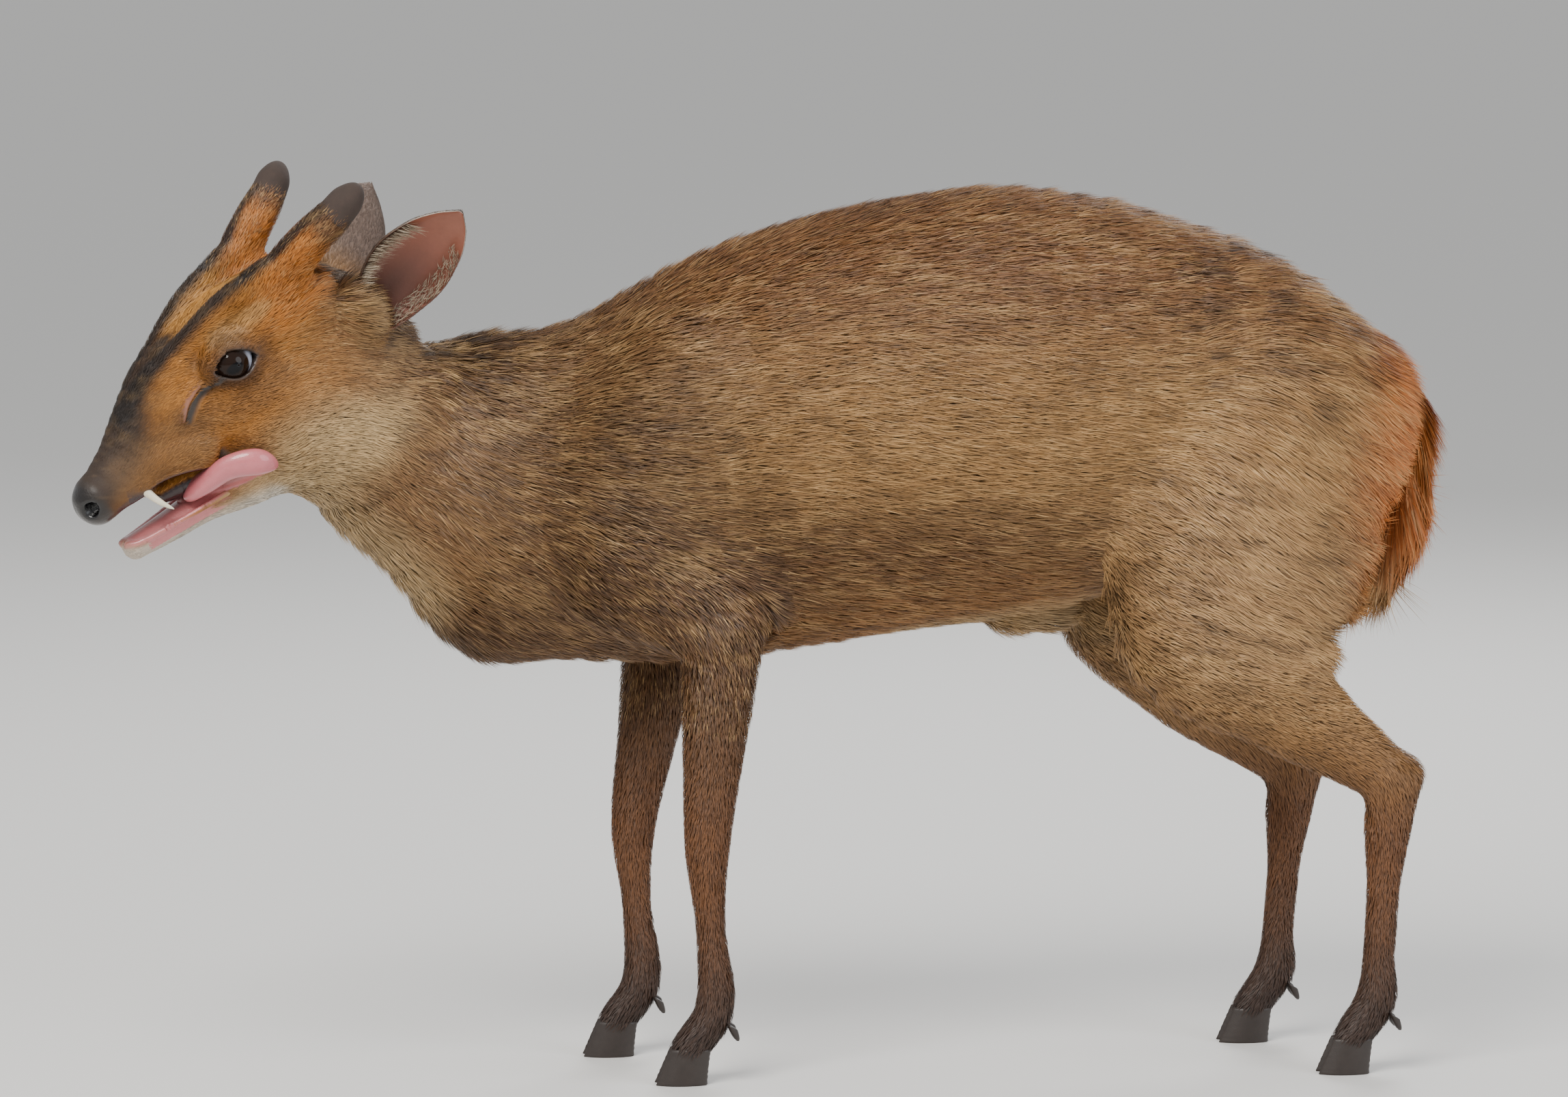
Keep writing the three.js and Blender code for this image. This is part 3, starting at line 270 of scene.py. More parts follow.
class Limb:
    """A limb of oval section along a smooth path of places."""

    PER_SPAN = 4

    def __init__(self, path: Sequence[Place], start_cap: float = 0, end_cap: float = 0):
        """Args: path: the places; start_cap, end_cap: how far a round end reaches."""
        times = np.linspace(0, 1, (len(path) - 1) * self.PER_SPAN + 1)
        self.at = spline(np.array([p.at for p in path], float), times).astype(np.float32)
        sizes = spline(np.array([(p.deep, p.wide, 0) for p in path], float), times)
        self.deep = sizes[:, 0].astype(np.float32)
        self.wide = sizes[:, 1].astype(np.float32)
        self.caps = (start_cap, end_cap)
        reach = max(self.deep.max(), self.wide.max(), start_cap, end_cap)
        self.low = self.at.min(axis=0) - reach
        self.high = self.at.max(axis=0) + reach
        level = np.array([0, 1, 0], np.float32)
        self.axes = []
        for start, end in zip(self.at[:-1], self.at[1:]):
            along = (end - start) / np.linalg.norm(end - start)
            wide = unit(level - along * along[1])
            self.axes.append(np.stack([along, wide, np.cross(along, wide)], axis=1))

    def _spans(self, points: np.ndarray) -> Iterator[tuple[int, np.ndarray, np.ndarray, np.ndarray]]:
        """For each span: its number, part of the way along it, distance, and points in its frame."""
        last = len(self.axes) - 1
        for i, axes in enumerate(self.axes):
            local = (points - self.at[i]) @ axes
            length = float(np.linalg.norm(self.at[i + 1] - self.at[i]))
            t = np.clip(local[:, 0] / length, 0, 1)
            past = local[:, 0] - t * length
            deep = self.deep[i] + t * (self.deep[i + 1] - self.deep[i])
            wide = self.wide[i] + t * (self.wide[i + 1] - self.wide[i])
            round_end = np.minimum(deep, wide)
            start_cap = self.caps[0] if i == 0 and self.caps[0] else round_end
            end_cap = self.caps[1] if i == last and self.caps[1] else round_end
            cap = np.where(past < 0, start_cap, end_cap)
            reach = np.sqrt((local[:, 1] / wide) ** 2 + (local[:, 2] / deep) ** 2 + (past / cap) ** 2) + 1e-6
            size = np.sqrt(local[:, 1] ** 2 + local[:, 2] ** 2 + past ** 2) + 1e-6
            yield i, t, size * (reach - 1) / reach, local

    def distance(self, points: np.ndarray) -> np.ndarray:
        """Distance of each point."""
        best = np.full(len(points), FAR, np.float32)
        for _, _, distance, _ in self._spans(points):
            np.minimum(best, distance, out=best)
        return best

    def frame(self, points: np.ndarray) -> tuple[np.ndarray, np.ndarray, np.ndarray, np.ndarray]:
        """Distance, tangent, part of the way along (0 to 1) and angle round the path, for each point."""
        best = np.full(len(points), FAR, np.float32)
        tangent = np.zeros((len(points), 3), np.float32)
        way = np.zeros(len(points), np.float32)
        angle = np.zeros(len(points), np.float32)
        for i, t, distance, local in self._spans(points):
            closer = distance < best
            best[closer] = distance[closer]
            tangent[closer] = self.axes[i][:, 0]
            way[closer] = (i + t[closer]) / len(self.axes)
            angle[closer] = np.arctan2(local[closer, 1], local[closer, 2])
        return best, tangent, way, angle


class Swelling:
    """An ellipsoid."""

    def __init__(self, at: Sequence[float], radii: Sequence[float]):
        """Args: at: its middle; radii: its half sizes."""
        self.at = np.array(at, np.float32)
        self.radii = np.array(radii, np.float32)
        self.low = self.at - self.radii
        self.high = self.at + self.radii

    def distance(self, points: np.ndarray) -> np.ndarray:
        """Distance of each point."""
        offset = points - self.at
        reach = np.linalg.norm(offset / self.radii, axis=1) + 1e-6
        return np.linalg.norm(offset, axis=1) * (reach - 1) / reach


class Union:
    """A smooth union of shapes, each with its own rounding."""

    MARGIN = 26.0

    def __init__(self, *parts: tuple[Shape, float]):
        """Args: parts: pairs of a shape and its rounding."""
        self.parts = parts
        self.low = np.min([shape.low for shape, _ in parts], axis=0)
        self.high = np.max([shape.high for shape, _ in parts], axis=0)

    def distance(self, points: np.ndarray) -> np.ndarray:
        """Distance of each point. It is far for points well outside every part's box."""
        total = np.full(len(points), FAR, np.float32)
        for shape, k in self.parts:
            close = near(shape, points, k + self.MARGIN)
            if close.any():
                total[close] = blend(total[close], shape.distance(points[close]), k)
        return total


class HeadFrame:
    """The turn and place of the head."""

    def __init__(self) -> None:
        """Works out the matrix from the head's turns."""
        yaw, pitch, roll = (math.radians(HEAD_TURN[name]) for name in ("yaw", "pitch", "roll"))
        turn = Matrix.Rotation(yaw, 3, "Z") @ Matrix.Rotation(-pitch, 3, "Y") @ Matrix.Rotation(roll, 3, "X")
        self.turn = np.array(turn, np.float32)
        self.nose = np.array(HEAD_NOSE, np.float32)

    def local(self, points: np.ndarray) -> np.ndarray:
        """Points of the animal in the head's frame."""
        return ((points - self.nose) @ self.turn).astype(np.float32)

    def folded(self, points: np.ndarray) -> np.ndarray:
        """Points of the animal in the head's frame, its left side folded over to the right."""
        local = self.local(points)
        local[:, 1] = np.abs(local[:, 1])
        return local

    def world(self, points: np.ndarray) -> np.ndarray:
        """Points of the head's frame in the animal's."""
        return (np.asarray(points, np.float32) @ self.turn.T + self.nose).astype(np.float32)

    def turned(self, vectors: np.ndarray) -> np.ndarray:
        """Directions of the head's frame in the animal's."""
        return (np.asarray(vectors, np.float32) @ self.turn.T).astype(np.float32)


HEAD = HeadFrame()


class OnHead:
    """A shape given in the head's frame on its right side, and the same on its left."""

    def __init__(self, shape: Shape, both: bool = True):
        """Args: shape: the shape in the head's frame; both: whether the left side has it too."""
        self.shape = shape
        self.both = both
        low, high = shape.low.copy(), shape.high.copy()
        if both:
            high[1] = max(abs(low[1]), abs(high[1]))
            low[1] = -high[1]
        world = HEAD.world(np.array(list(product(*zip(low, high)))))
        self.low = world.min(axis=0)
        self.high = world.max(axis=0)

    def distance(self, points: np.ndarray) -> np.ndarray:
        """Distance of each point of the animal."""
        return self.shape.distance(HEAD.folded(points) if self.both else HEAD.local(points))


class OnSide:
    """A flat shape in the side plane of the head, seen on both sides wherever the skin is."""

    INNER = 12.0
    OUTER = 48.0

    def __init__(self, shape: Shape):
        """Args: shape: the flat shape, whose points have y 0."""
        self.shape = shape
        self.low, self.high = shape.low.copy(), shape.high.copy()
        self.low[1], self.high[1] = self.INNER, self.OUTER

    def distance(self, points: np.ndarray) -> np.ndarray:
        """Distance across the side plane, for points of the head's right side."""
        flat = points * np.array([1, 0, 1], np.float32)
        return np.where(points[:, 1] > self.INNER, self.shape.distance(flat), FAR)


class Almond:
    """The opening between the lids as a flat shape, for points of the head's right side."""

    REACH_IN = (20, 8, 16)
    REACH_OUT = (20, 18, 16)

    def __init__(self) -> None:
        """Takes its place from the eye."""
        self.low = np.array(EYE_AT, np.float32) - np.array(self.REACH_IN, np.float32)
        self.high = np.array(EYE_AT, np.float32) + np.array(self.REACH_OUT, np.float32)

    def distance(self, points: np.ndarray) -> np.ndarray:
        """Distance across the side plane."""
        return almond(points - np.array(EYE_AT, np.float32)).astype(np.float32)


@dataclass(frozen=True)
class Leg:
    """One leg by its joints. A foreleg has an elbow and a wrist, a hind leg a knee and a hock."""

    name: str
    side: Side
    upper: tuple[float, float, float]
    middle: tuple[float, float, float]
    fetlock: tuple[float, float, float]
    toe: tuple[float, float, float]
    fore: bool

    def _place(self, at: Sequence[float], deep: float, wide: float) -> Place:
        return Place((at[0], self.side.value * at[1], at[2]), deep, wide)

    @staticmethod
    def _between(a: Sequence[float], b: Sequence[float], t: float) -> tuple[float, ...]:
        return tuple(v + t * (w - v) for v, w in zip(a, b))

    def limbs(self) -> list[tuple[Limb, float]]:
        """The leg's limbs with their rounding, the main one last."""
        upper, middle, fetlock, toe = self.upper, self.middle, self.fetlock, self.toe
        between = self._between
        if self.fore:
            arm = [((-104, 42, 302), 36, 25), (upper, 27, 19)]
            lower = [
                (upper, 27, 19), (between(upper, middle, 0.5), 18.5, 14), (middle, 13, 12.2),
                (between(middle, fetlock, 0.5), 8.8, 9), (fetlock, 11.5, 11), (toe, 11, 10.6)]
            parts = ((arm, 16), (lower, 4))
        else:
            thigh = [
                ((288, 30, 384), 54, 34), ((upper[0] + 48, 43, 332), 68, 35),
                ((upper[0] + 29, 51, 287), 72, 30), ((upper[0] + 31, 54, 254), 60, 25),
                ((middle[0] - 76, 54, 230), 42, 20)]
            shank = [
                (upper, 33, 23), (between(upper, middle, 0.45), 31, 20),
                (between(upper, middle, 0.82), 20, 15), (middle, 15, 12.5)]
            foot = [
                ((middle[0] + 2, middle[1], middle[2] + 4), 17, 12.5),
                (between(middle, fetlock, 0.22), 14, 11), (between(middle, fetlock, 0.5), 9.8, 9.2),
                (between(middle, fetlock, 0.8), 9.4, 9.2), (fetlock, 12, 11), (toe, 11, 10.6)]
            parts = ((thigh, 4), (shank, 20), (foot, 8))
        return [(Limb([self._place(*row) for row in rows]), k) for rows, k in parts]


LEGS = (
    Leg("foreleg_left", Side.LEFT, (-40, 50, 258), (-48, 47, 132), (-44, 45, 42), (-57, 45, 21), True),
    Leg("foreleg_right", Side.RIGHT, (-62, 50, 255), (-82, 47, 130), (-78, 45, 42), (-91, 45, 21), True),
    Leg("hind_leg_left", Side.LEFT, (214, 54, 256), (338, 53, 167), (331, 51, 42), (318, 51, 21), False),
    Leg("hind_leg_right", Side.RIGHT, (196, 54, 252), (302, 53, 160), (292, 51, 42), (279, 51, 21), False),
)


def mirror(path: Sequence[Place]) -> tuple[Place, ...]:
    """The same places on the other side."""
    return tuple(Place((p.at[0], -p.at[1], p.at[2]), p.deep, p.wide) for p in path)


class Noise:
    """Smooth noise on a seeded lattice, from -1 to 1."""

    SIDE = 64

    def __init__(self, seed: int):
        """Args: seed: number that the lattice is drawn from."""
        self.lattice = np.random.default_rng(seed).uniform(-1, 1, (self.SIDE,) * 3).astype(np.float32)

    def __call__(self, points: np.ndarray, size: float | Sequence[float]) -> np.ndarray:
        """Noise at points, with lumps about as large as size in millimetres."""
        scaled = points / np.asarray(size, np.float32)
        base = np.floor(scaled).astype(int)
        t = scaled - base
        t = t * t * (3 - 2 * t)
        total = np.zeros(len(points), np.float32)
        for corner in range(8):
            step = np.array([corner & 1, corner >> 1 & 1, corner >> 2 & 1])
            weight = np.prod(np.where(step, t, 1 - t), axis=1)
            index = (base + step) % self.SIDE
            total += weight * self.lattice[index[:, 0], index[:, 1], index[:, 2]]
        return total


NOISE = [Noise(SEED + i) for i in range(4)]


# The body


class Body:
    """The flesh of the animal with the skin's own detail."""

    MARGIN = 4
    HOOF_TOP = 14.0
    RISE_BY_HEIGHT = ((60, 190, 290), (1.3, 2.0, 7.0))
    RISE_AT_TAIL = ((322, 345), (7, 3.5))
    RISE_ON_HEAD = ((20, 45, 90, 125, 165, 200), (0.3, 0.7, 1.2, 2.0, 4.2, 7.0))
    JAW_RISE = 0.7
    PEDICLE_RISE = 1.5
    CORD_RADIUS = 1.5

    def __init__(self) -> None:
        """Builds the same body that the solids were cut from, and the forms that only the skin has."""
        self.trunk = Limb(TRUNK, end_cap=RUMP_ROUND)
        self.neck = Limb(NECK)
        self.skull = Limb(SKULL, start_cap=6)
        self.jaw = Limb(JAW, start_cap=7)
        self.throat = Limb(THROAT)
        self.tail = Limb(TAIL)
        self.pedicle = Limb(PEDICLE)
        self.legs = {leg.name: leg.limbs() for leg in LEGS}
        head = Union(
            (self.skull, 4), (Limb(LIP_FLESH), 5), (Swelling(*CHEEK), 14), (Limb(FOREHEAD_RIDGE), 8),
            (Swelling(*ORBIT), 8), (Swelling(*EAR_BASE), 10), (Swelling(*TEMPLE), 10), (self.throat, 12))
        self.flesh = Union(
            (Union((self.trunk, 4), (Swelling(*SHEATH), 14)), 4),
            (Limb(SHOULDER), 24), (Limb(mirror(SHOULDER)), 24),
            *((Union(*limbs), 26) for limbs in self.legs.values()),
            (self.neck, 30), (OnHead(head), 16), (OnHead(self.jaw, both=False), 3),
            (OnHead(self.pedicle), 5), (self.tail, 8))
        self.nose = Swelling(*NOSE)
        self.nostril = Swelling(*NOSTRIL)
        self.lips = Union((Limb(UPPER_LIP), 1), (Limb(LOWER_LIP), 1))
        self.gland = OnSide(Limb(GLAND))
        self.fold = OnSide(Limb(GLAND_FOLD))
        self.mouth_deep = Limb(MOUTH_DEEP)
        self.low = self.flesh.low - self.MARGIN
        self.high = self.flesh.high + self.MARGIN
        self.low[2] = self.HOOF_TOP

    def coat_rise(self, points: np.ndarray) -> np.ndarray:
        """How high the coat stands over the skin at each point, in millimetres."""
        rise = np.interp(points[:, 2], *self.RISE_BY_HEIGHT)
        by_tail = np.interp(points[:, 0], *self.RISE_AT_TAIL)
        rise = np.where(points[:, 0] > self.RISE_AT_TAIL[0][0], np.minimum(rise, by_tail), rise)
        local = HEAD.folded(points)
        along, aside, up = local.T
        on_head = np.interp(along, *self.RISE_ON_HEAD)
        inside = smoothstep(up, -88, -58) * smoothstep(aside, 78, 60)
        rise = rise + (np.minimum(on_head, rise) - rise) * inside
        jaw = smoothstep(up, -30, -38) * smoothstep(along, 112, 86) * (along > -10) * inside
        rise = rise + (self.JAW_RISE - rise) * jaw * (rise > self.JAW_RISE)
        horn = (up > 30) & within(along, 120, 240) & (aside < 70)
        if horn.any():
            close = smoothstep(self.pedicle.distance(local[horn]), 9, 2) * smoothstep(up[horn], 52, 66)
            rise[horn] += (self.PEDICLE_RISE - rise[horn]) * close
        return rise.astype(np.float32)

    def distance(self, points: np.ndarray) -> np.ndarray:
        """Distance of each point to the skin."""
        total = self.flesh.distance(points) + self.coat_rise(points)
        local = HEAD.folded(points)
        face = within(local[:, 0], -12, 150) & (local[:, 1] < 60) & (local[:, 2] > -70)
        if face.any():
            total[face] = self._face(local[face], total[face])
        return total

    def _face(self, local: np.ndarray, total: np.ndarray) -> np.ndarray:
        """The distance with nose, lips, lids and folds worked in. Local points are on the right side."""
        along, aside, up = local.T
        total = blend(total, self.nose.distance(local), 5)
        total = carve(total, self.nostril.distance(local), 2.5)
        ring = np.linalg.norm(local - self.nose.at, axis=1) - PHILTRUM["radius"]
        groove = carve(total, np.hypot(aside, ring) - PHILTRUM["half_width"], 1.6)
        total = np.where((along < PHILTRUM["front"]) & (up < PHILTRUM["top"]), groove, total)
        total = blend(total, self.lips.distance(local), 3)
        total = blend(total, self.mouth_deep.distance(local), 3)
        total = blend(total, self._laid(self.fold, local, total), 3)
        total = carve(total, self._laid(self.gland, local, total), 1.5)
        eye = local - np.array(EYE_AT, np.float32)
        ball = np.linalg.norm(eye, axis=1) - EYE_RADIUS
        total = blend(total, ball - LID["flesh"], 5)
        edge = almond(eye)
        outside = eye[:, 1] > 0
        rim = np.maximum(np.abs(edge - LID["rim_at"]) - LID["rim_half"], 0)
        rim = np.hypot(rim, ball - LID["rim_rise"]) - LID["rim_radius"]
        total = np.where(outside, blend(total, rim, 1.5), total)
        crease = np.hypot(edge - LID["crease_at"], ball - LID["crease_rise"]) - LID["crease_radius"]
        total = np.where(outside & (eye[:, 2] > 0), carve(total, crease, 2.2), total)
        opening = np.maximum(np.maximum(edge, -eye[:, 1] + 3), -ball - LID["depth"])
        return carve(total, opening, 0.6)

    def _laid(self, line: OnSide, local: np.ndarray, total: np.ndarray) -> np.ndarray:
        """Distance to a round cord laid on the skin along a line."""
        return np.hypot(np.maximum(line.distance(local), 0), total) - self.CORD_RADIUS

    def slope(self, points: np.ndarray, step: float = 0.4) -> tuple[np.ndarray, np.ndarray]:
        """Distance and outward direction at each point."""
        corners = np.array([[1, -1, -1], [-1, -1, 1], [-1, 1, -1], [1, 1, 1]], np.float32)
        values = [self.distance(points + step * corner) for corner in corners]
        gradient = sum(value[:, None] * corner for value, corner in zip(values, corners)) / (4 * step)
        return np.mean(values, axis=0), gradient


def almond(eye: np.ndarray) -> np.ndarray:
    """Distance to the outline of the opening between the lids, for points round the eye's middle."""
    slant = math.radians(EYE_SLANT)
    x = eye[:, 0] * math.cos(slant) - eye[:, 2] * math.sin(slant)
    z = eye[:, 0] * math.sin(slant) + eye[:, 2] * math.cos(slant)
    half = EYE_OPENING[0] / 2
    t = np.clip(x / half, -1, 1)
    top = EYE_OPENING[1] * 0.52 * (1 - t * t) ** 0.8 * (1 - 0.18 * t)
    low = -EYE_OPENING[1] * 0.46 * (1 - t * t) ** 0.9 * (1 + 0.1 * t)
    return np.maximum(np.maximum(z - top, low - z) * 0.9, np.abs(x) - half)


# Colours


@dataclass(frozen=True)
class Marking:
    """A patch of colour that covers a shape and fades over some millimetres round it."""

    colour: np.ndarray
    shape: Shape
    fade: float
    strength: float = 1.0

    def mask(self, points: np.ndarray) -> np.ndarray:
        """How much of the colour each point has."""
        mask = np.zeros(len(points), np.float32)
        close = near(self.shape, points, self.fade)
        if close.any():
            distance = self.shape.distance(points[close])
            mask[close] = self.strength * smoothstep(distance, self.fade, -self.fade * 0.3)
        return mask


BACK = srgb(122, 78, 36)
FLANK = srgb(164, 122, 72)
# The lower flank's colour: partly the coat's own darker tone, partly painted shade where the flank turns
# under
LOW_FLANK_AND_SHADE = srgb(100, 66, 34)
BELLY = srgb(146, 98, 48)
NECK_COLOUR = srgb(94, 62, 30)
FACE_COLOUR = srgb(178, 114, 38)
HAUNCH_TAN = srgb(168, 130, 88)
# Painted shade over the shoulder
SHOULDER_SHADE = srgb(90, 59, 28)
RUST = srgb(194, 108, 38)
LEG_BROWN = srgb(112, 70, 36)
FOOT_BROWN = srgb(58, 40, 30)
CREAM = srgb(206, 176, 128)
WHITE = srgb(226, 218, 204)
BLACK = srgb(34, 26, 22)
SNOUT = srgb(46, 34, 26)
NOSE_BLACK = srgb(11, 10, 12)
MOUTH_PINK = srgb(196, 118, 118)
# Painted shadow on the roof and in the deep corners of the mouth
MOUTH_SHADOW = srgb(40, 16, 16)
NECK_BUFF = srgb(148, 108, 66)
CHEEK_TAN = srgb(120, 88, 54)
CROWN_TAN = srgb(196, 140, 66)
PEDICLE_TAN = srgb(196, 118, 40)
PEDICLE_END = srgb(92, 70, 50)
BROW_TAN = srgb(196, 150, 90)
CHEEK_BROWN = srgb(110, 76, 44)
LID_BROWN = srgb(52, 36, 32)
UPPER_LIP_BROWN = srgb(58, 38, 32)
LOWER_LIP_PINK = srgb(182, 112, 104)
FOLD_PINK = srgb(146, 96, 84)
# Pale streaks: partly the coat's own pale hairs, partly painted sheen on clumps of hair
PALE_STREAK_AND_SHEEN = srgb(206, 166, 110)
HAIR_TIP = srgb(212, 172, 116)
EAR_PINK = srgb(132, 76, 58)
EAR_PINK_TIP = srgb(148, 92, 72)
EAR_GREY = srgb(112, 92, 80)
EAR_TAN = srgb(150, 110, 66)
EAR_RIM = srgb(88, 70, 60)
EAR_RIM_PALE = srgb(206, 196, 184)
EAR_INNER_HAIR = srgb(222, 206, 182)
EAR_EDGE_HAIR = srgb(150, 122, 98)
EAR_EDGE_PALE = srgb(228, 220, 210)
EYE_WHITE = srgb(60, 52, 48)
EYE_WHITE_REAR = srgb(176, 180, 196)
IRIS = srgb(30, 17, 10)
PUPIL = srgb(7, 6, 9)


def stripe(*rows: tuple[tuple[float, float, float], float]) -> OnHead:
    """A stripe of colour on both sides of the head, from points and half widths."""
    return OnHead(Limb([Place(at, radius, radius) for at, radius in rows]))


def patch_path(*rows: tuple[tuple[float, float, float], float, float]) -> OnHead:
    """A patch of colour along a path on both sides of the head."""
    return OnHead(Limb(places(*rows)))


class Markings:
    """The coat's colours, which the skin and the tufts share."""

    BARE_SHADE = 0.72
    PALE_SHARE = (0.1, 0.44)
    DARK_SHARE = (0.12, 0.42)
    MOUTH_TOP = ((42, 56, 72, 84, 104), (-11, -13, -19, -27, -32))

    def __init__(self, body: Body):
        """Args: body: the body that the colours lie on."""
        self.body = body
        trunk = (
            # Painted shade darkens the shoulder and the root of the neck
            Marking(SHOULDER_SHADE, Swelling((-100, 0, 320), (50, 100, 80)), 80, 0.8),
            Marking(HAUNCH_TAN, Swelling((228, 0, 275), (50, 130, 60)), 60, 0.7),
            Marking(RUST, Swelling((352, 0, 318), (46, 90, 100)), 44, 0.95),
            Marking(CREAM, Swelling((300, 0, 262), (58, 32, 58)), 26, 0.8),
            Marking(CREAM, Swelling((140, 0, 250), (90, 40, 16)), 22, 0.55),
            Marking(NECK_BUFF, Limb(places(((-268, -40, 395), 30, 60), ((-205, -8, 330), 46, 60))), 34, 0.5),
            Marking(CREAM, OnHead(Swelling((120, 26, -42), (48, 22, 20))), 24, 0.75),
            Marking(CREAM, Limb(places(((-285, -44, 330), 18, 30), ((-225, -18, 282), 18, 26))), 24, 0.7),
        )
        snout = patch_path(
            ((10, 0, 3), 19, 18), ((36, 0, 15), 17, 18), ((60, 0, 31), 12, 12), ((84, 0, 47), 6, 7))
        brow_stripe = stripe(
            ((44, 5, 28), 5), ((64, 8, 40), 4), ((86, 14, 52), 4.2), ((110, 19.5, 61), 4.8),
            ((134, 24, 66), 5.5))
        pedicle_stripe = stripe(
            ((134, 24, 66), 5), ((151, 28, 67), 4.5), ((172, 37, 78), 4.5), ((190, 43, 82.5), 6))
        cheek_line = patch_path(((70, 24, 14), 5, 6), ((96, 30, 6), 5, 8), ((124, 32, 10), 4, 8))
        chin = patch_path(
            ((13, 2, -42), 4, 6), ((24, 5, -46), 5, 9), ((60, 12, -51), 5, 13), ((96, 14, -56), 6, 18))
        head = (
            Marking(SNOUT, snout, 11, 0.97),
            Marking(CHEEK_TAN, patch_path(((30, 13, -4), 12, 6), ((70, 22, 2), 14, 6)), 12, 0.6),
            Marking(CROWN_TAN, OnHead(Swelling((118, 6, 62), (34, 12, 16))), 9, 0.85),
            Marking(BLACK, brow_stripe, 5, 0.95),
            Marking(BLACK, OnHead(Swelling((152, 10, 60), (14, 12, 12))), 12, 0.75),
            Marking(PEDICLE_TAN, OnHead(body.pedicle), 8, 0.95),
            Marking(BLACK, pedicle_stripe, 4.5, 0.95),
            Marking(PEDICLE_END, stripe(((188, 42, 70), 12), ((200, 45, 76), 12)), 7, 0.8),
            Marking(BROW_TAN, OnHead(Swelling((112, 34, 46), (22, 12, 5))), 7, 0.7),
            Marking(CHEEK_BROWN, cheek_line, 8, 0.45),
            Marking(WHITE, chin, 7, 0.8),
            Marking(LID_BROWN, OnHead(Almond()), 15.0, 0.97),
            Marking(BLACK, OnHead(OnSide(Limb(EYE_LINE))), 4, 0.8),
        )
        self.patches = trunk + head
        self.bare = (
            Marking(UPPER_LIP_BROWN, OnHead(Limb(UPPER_LIP)), 1.6, 0.9),
            Marking(LOWER_LIP_PINK, OnHead(Limb(LOWER_LIP[:3])), 1.5, 0.9),
            Marking(NOSE_BLACK, OnHead(body.nose), 1.6, 1.0),
            Marking(FOLD_PINK, OnHead(body.fold), 2.4, 0.7),
            Marking(BLACK, OnHead(body.gland), 2.2, 0.95),
            Marking(BLACK, OnHead(Almond()), 1.8, 1.0),
        )

    def hair(self, points: np.ndarray, normals: np.ndarray) -> np.ndarray:
        """Linear colour of the coat at each point."""
        x, z = points[:, 0], points[:, 2]
        along, _, up = HEAD.local(points).T
        height = smoothstep(z + 24 * normals[:, 2], 360, 470)
        # Painted shade, with the coat's own darker tone, low on the flank and on its downward-facing side
        low_flank_and_shade = smoothstep(z + 20 * normals[:, 2], 350, 285) * smoothstep(x, 230, 130)
        under = smoothstep(normals[:, 2], -0.25, -0.85) * smoothstep(z, 180, 230)
        tail = smoothstep(self.body.tail.distance(points), 9, 0) * (x > TAIL_FROM)
        layers = (
            (BACK, height),
            (LOW_FLANK_AND_SHADE, low_flank_and_shade),
            (BELLY, under),
            (NECK_COLOUR * (1 - 0.25 * height[:, None]), smoothstep(x, -90, -190)),
            (LEG_BROWN, smoothstep(z, 235, 130)),
            (FOOT_BROWN, smoothstep(z, 120, 20)),
            (FACE_COLOUR, smoothstep(along, 190, 128) * smoothstep(up, -84, -40)),
            (RUST, tail),
            (WHITE, tail * smoothstep(normals[:, 0], 0.1, -0.5)),
        )
        colour = FLANK
        for tone, share in layers:
            colour = mix(colour, tone, share)
        for patch in self.patches:
            colour = mix(colour, patch.colour, patch.mask(points))
        return colour

    def mottled(self, points: np.ndarray, colour: np.ndarray) -> np.ndarray:
        """The colour with the coat's streaks and lumps."""
        x, z = points[:, 0], points[:, 2]
        body = 1 - smoothstep(HEAD.local(points)[:, 0], 200, 150)
        trunk = body * smoothstep(z, 180, 260)
        streaks = 0.75 * NOISE[0](points, (22, 7, 4.5)) + 0.8 * NOISE[1](points, (9, 3.5, 1.9))
        mark = streaks + 0.3 * NOISE[3](points, 48)
        wild = 0.55 + 0.6 * smoothstep(x, 130, 260) + 0.6 * smoothstep(x, -140, -200)
        # The pale streaks are partly the coat's own pale hairs and partly painted sheen on clumps
        pale = np.clip(mark, 0, 1) * (self.PALE_SHARE[0] + self.PALE_SHARE[1] * trunk * wild)
        dark = np.clip(-mark, 0, 1) * (self.DARK_SHARE[0] + self.DARK_SHARE[1] * trunk * wild)
        colour = mix(colour, PALE_STREAK_AND_SHEEN, pale * smoothstep(z, 150, 240))
        return colour * (1 - dark)[:, None]

    def skin(self, points: np.ndarray, normals: np.ndarray) -> tuple[np.ndarray, np.ndarray]:
        """Colour of the skin under the coat, and how bare and moist it is, at each point."""
        colour = self.mottled(points, self.hair(points, normals)) * self.BARE_SHADE
        bare = np.zeros(len(points), np.float32)
        for patch in self.bare:
            mask = patch.mask(points)
            colour = mix(colour, patch.colour, mask)
            bare = np.maximum(bare, mask)
        mouth = self.mouth(points, normals)
        # Inside the mouth the low parts take the pink and the high parts a painted shadow
        pink = smoothstep(HEAD.local(points)[:, 2], -29, -38)
        colour = mix(colour, mix(MOUTH_SHADOW, MOUTH_PINK, pink), mouth)
        return colour, np.maximum(bare, mouth)

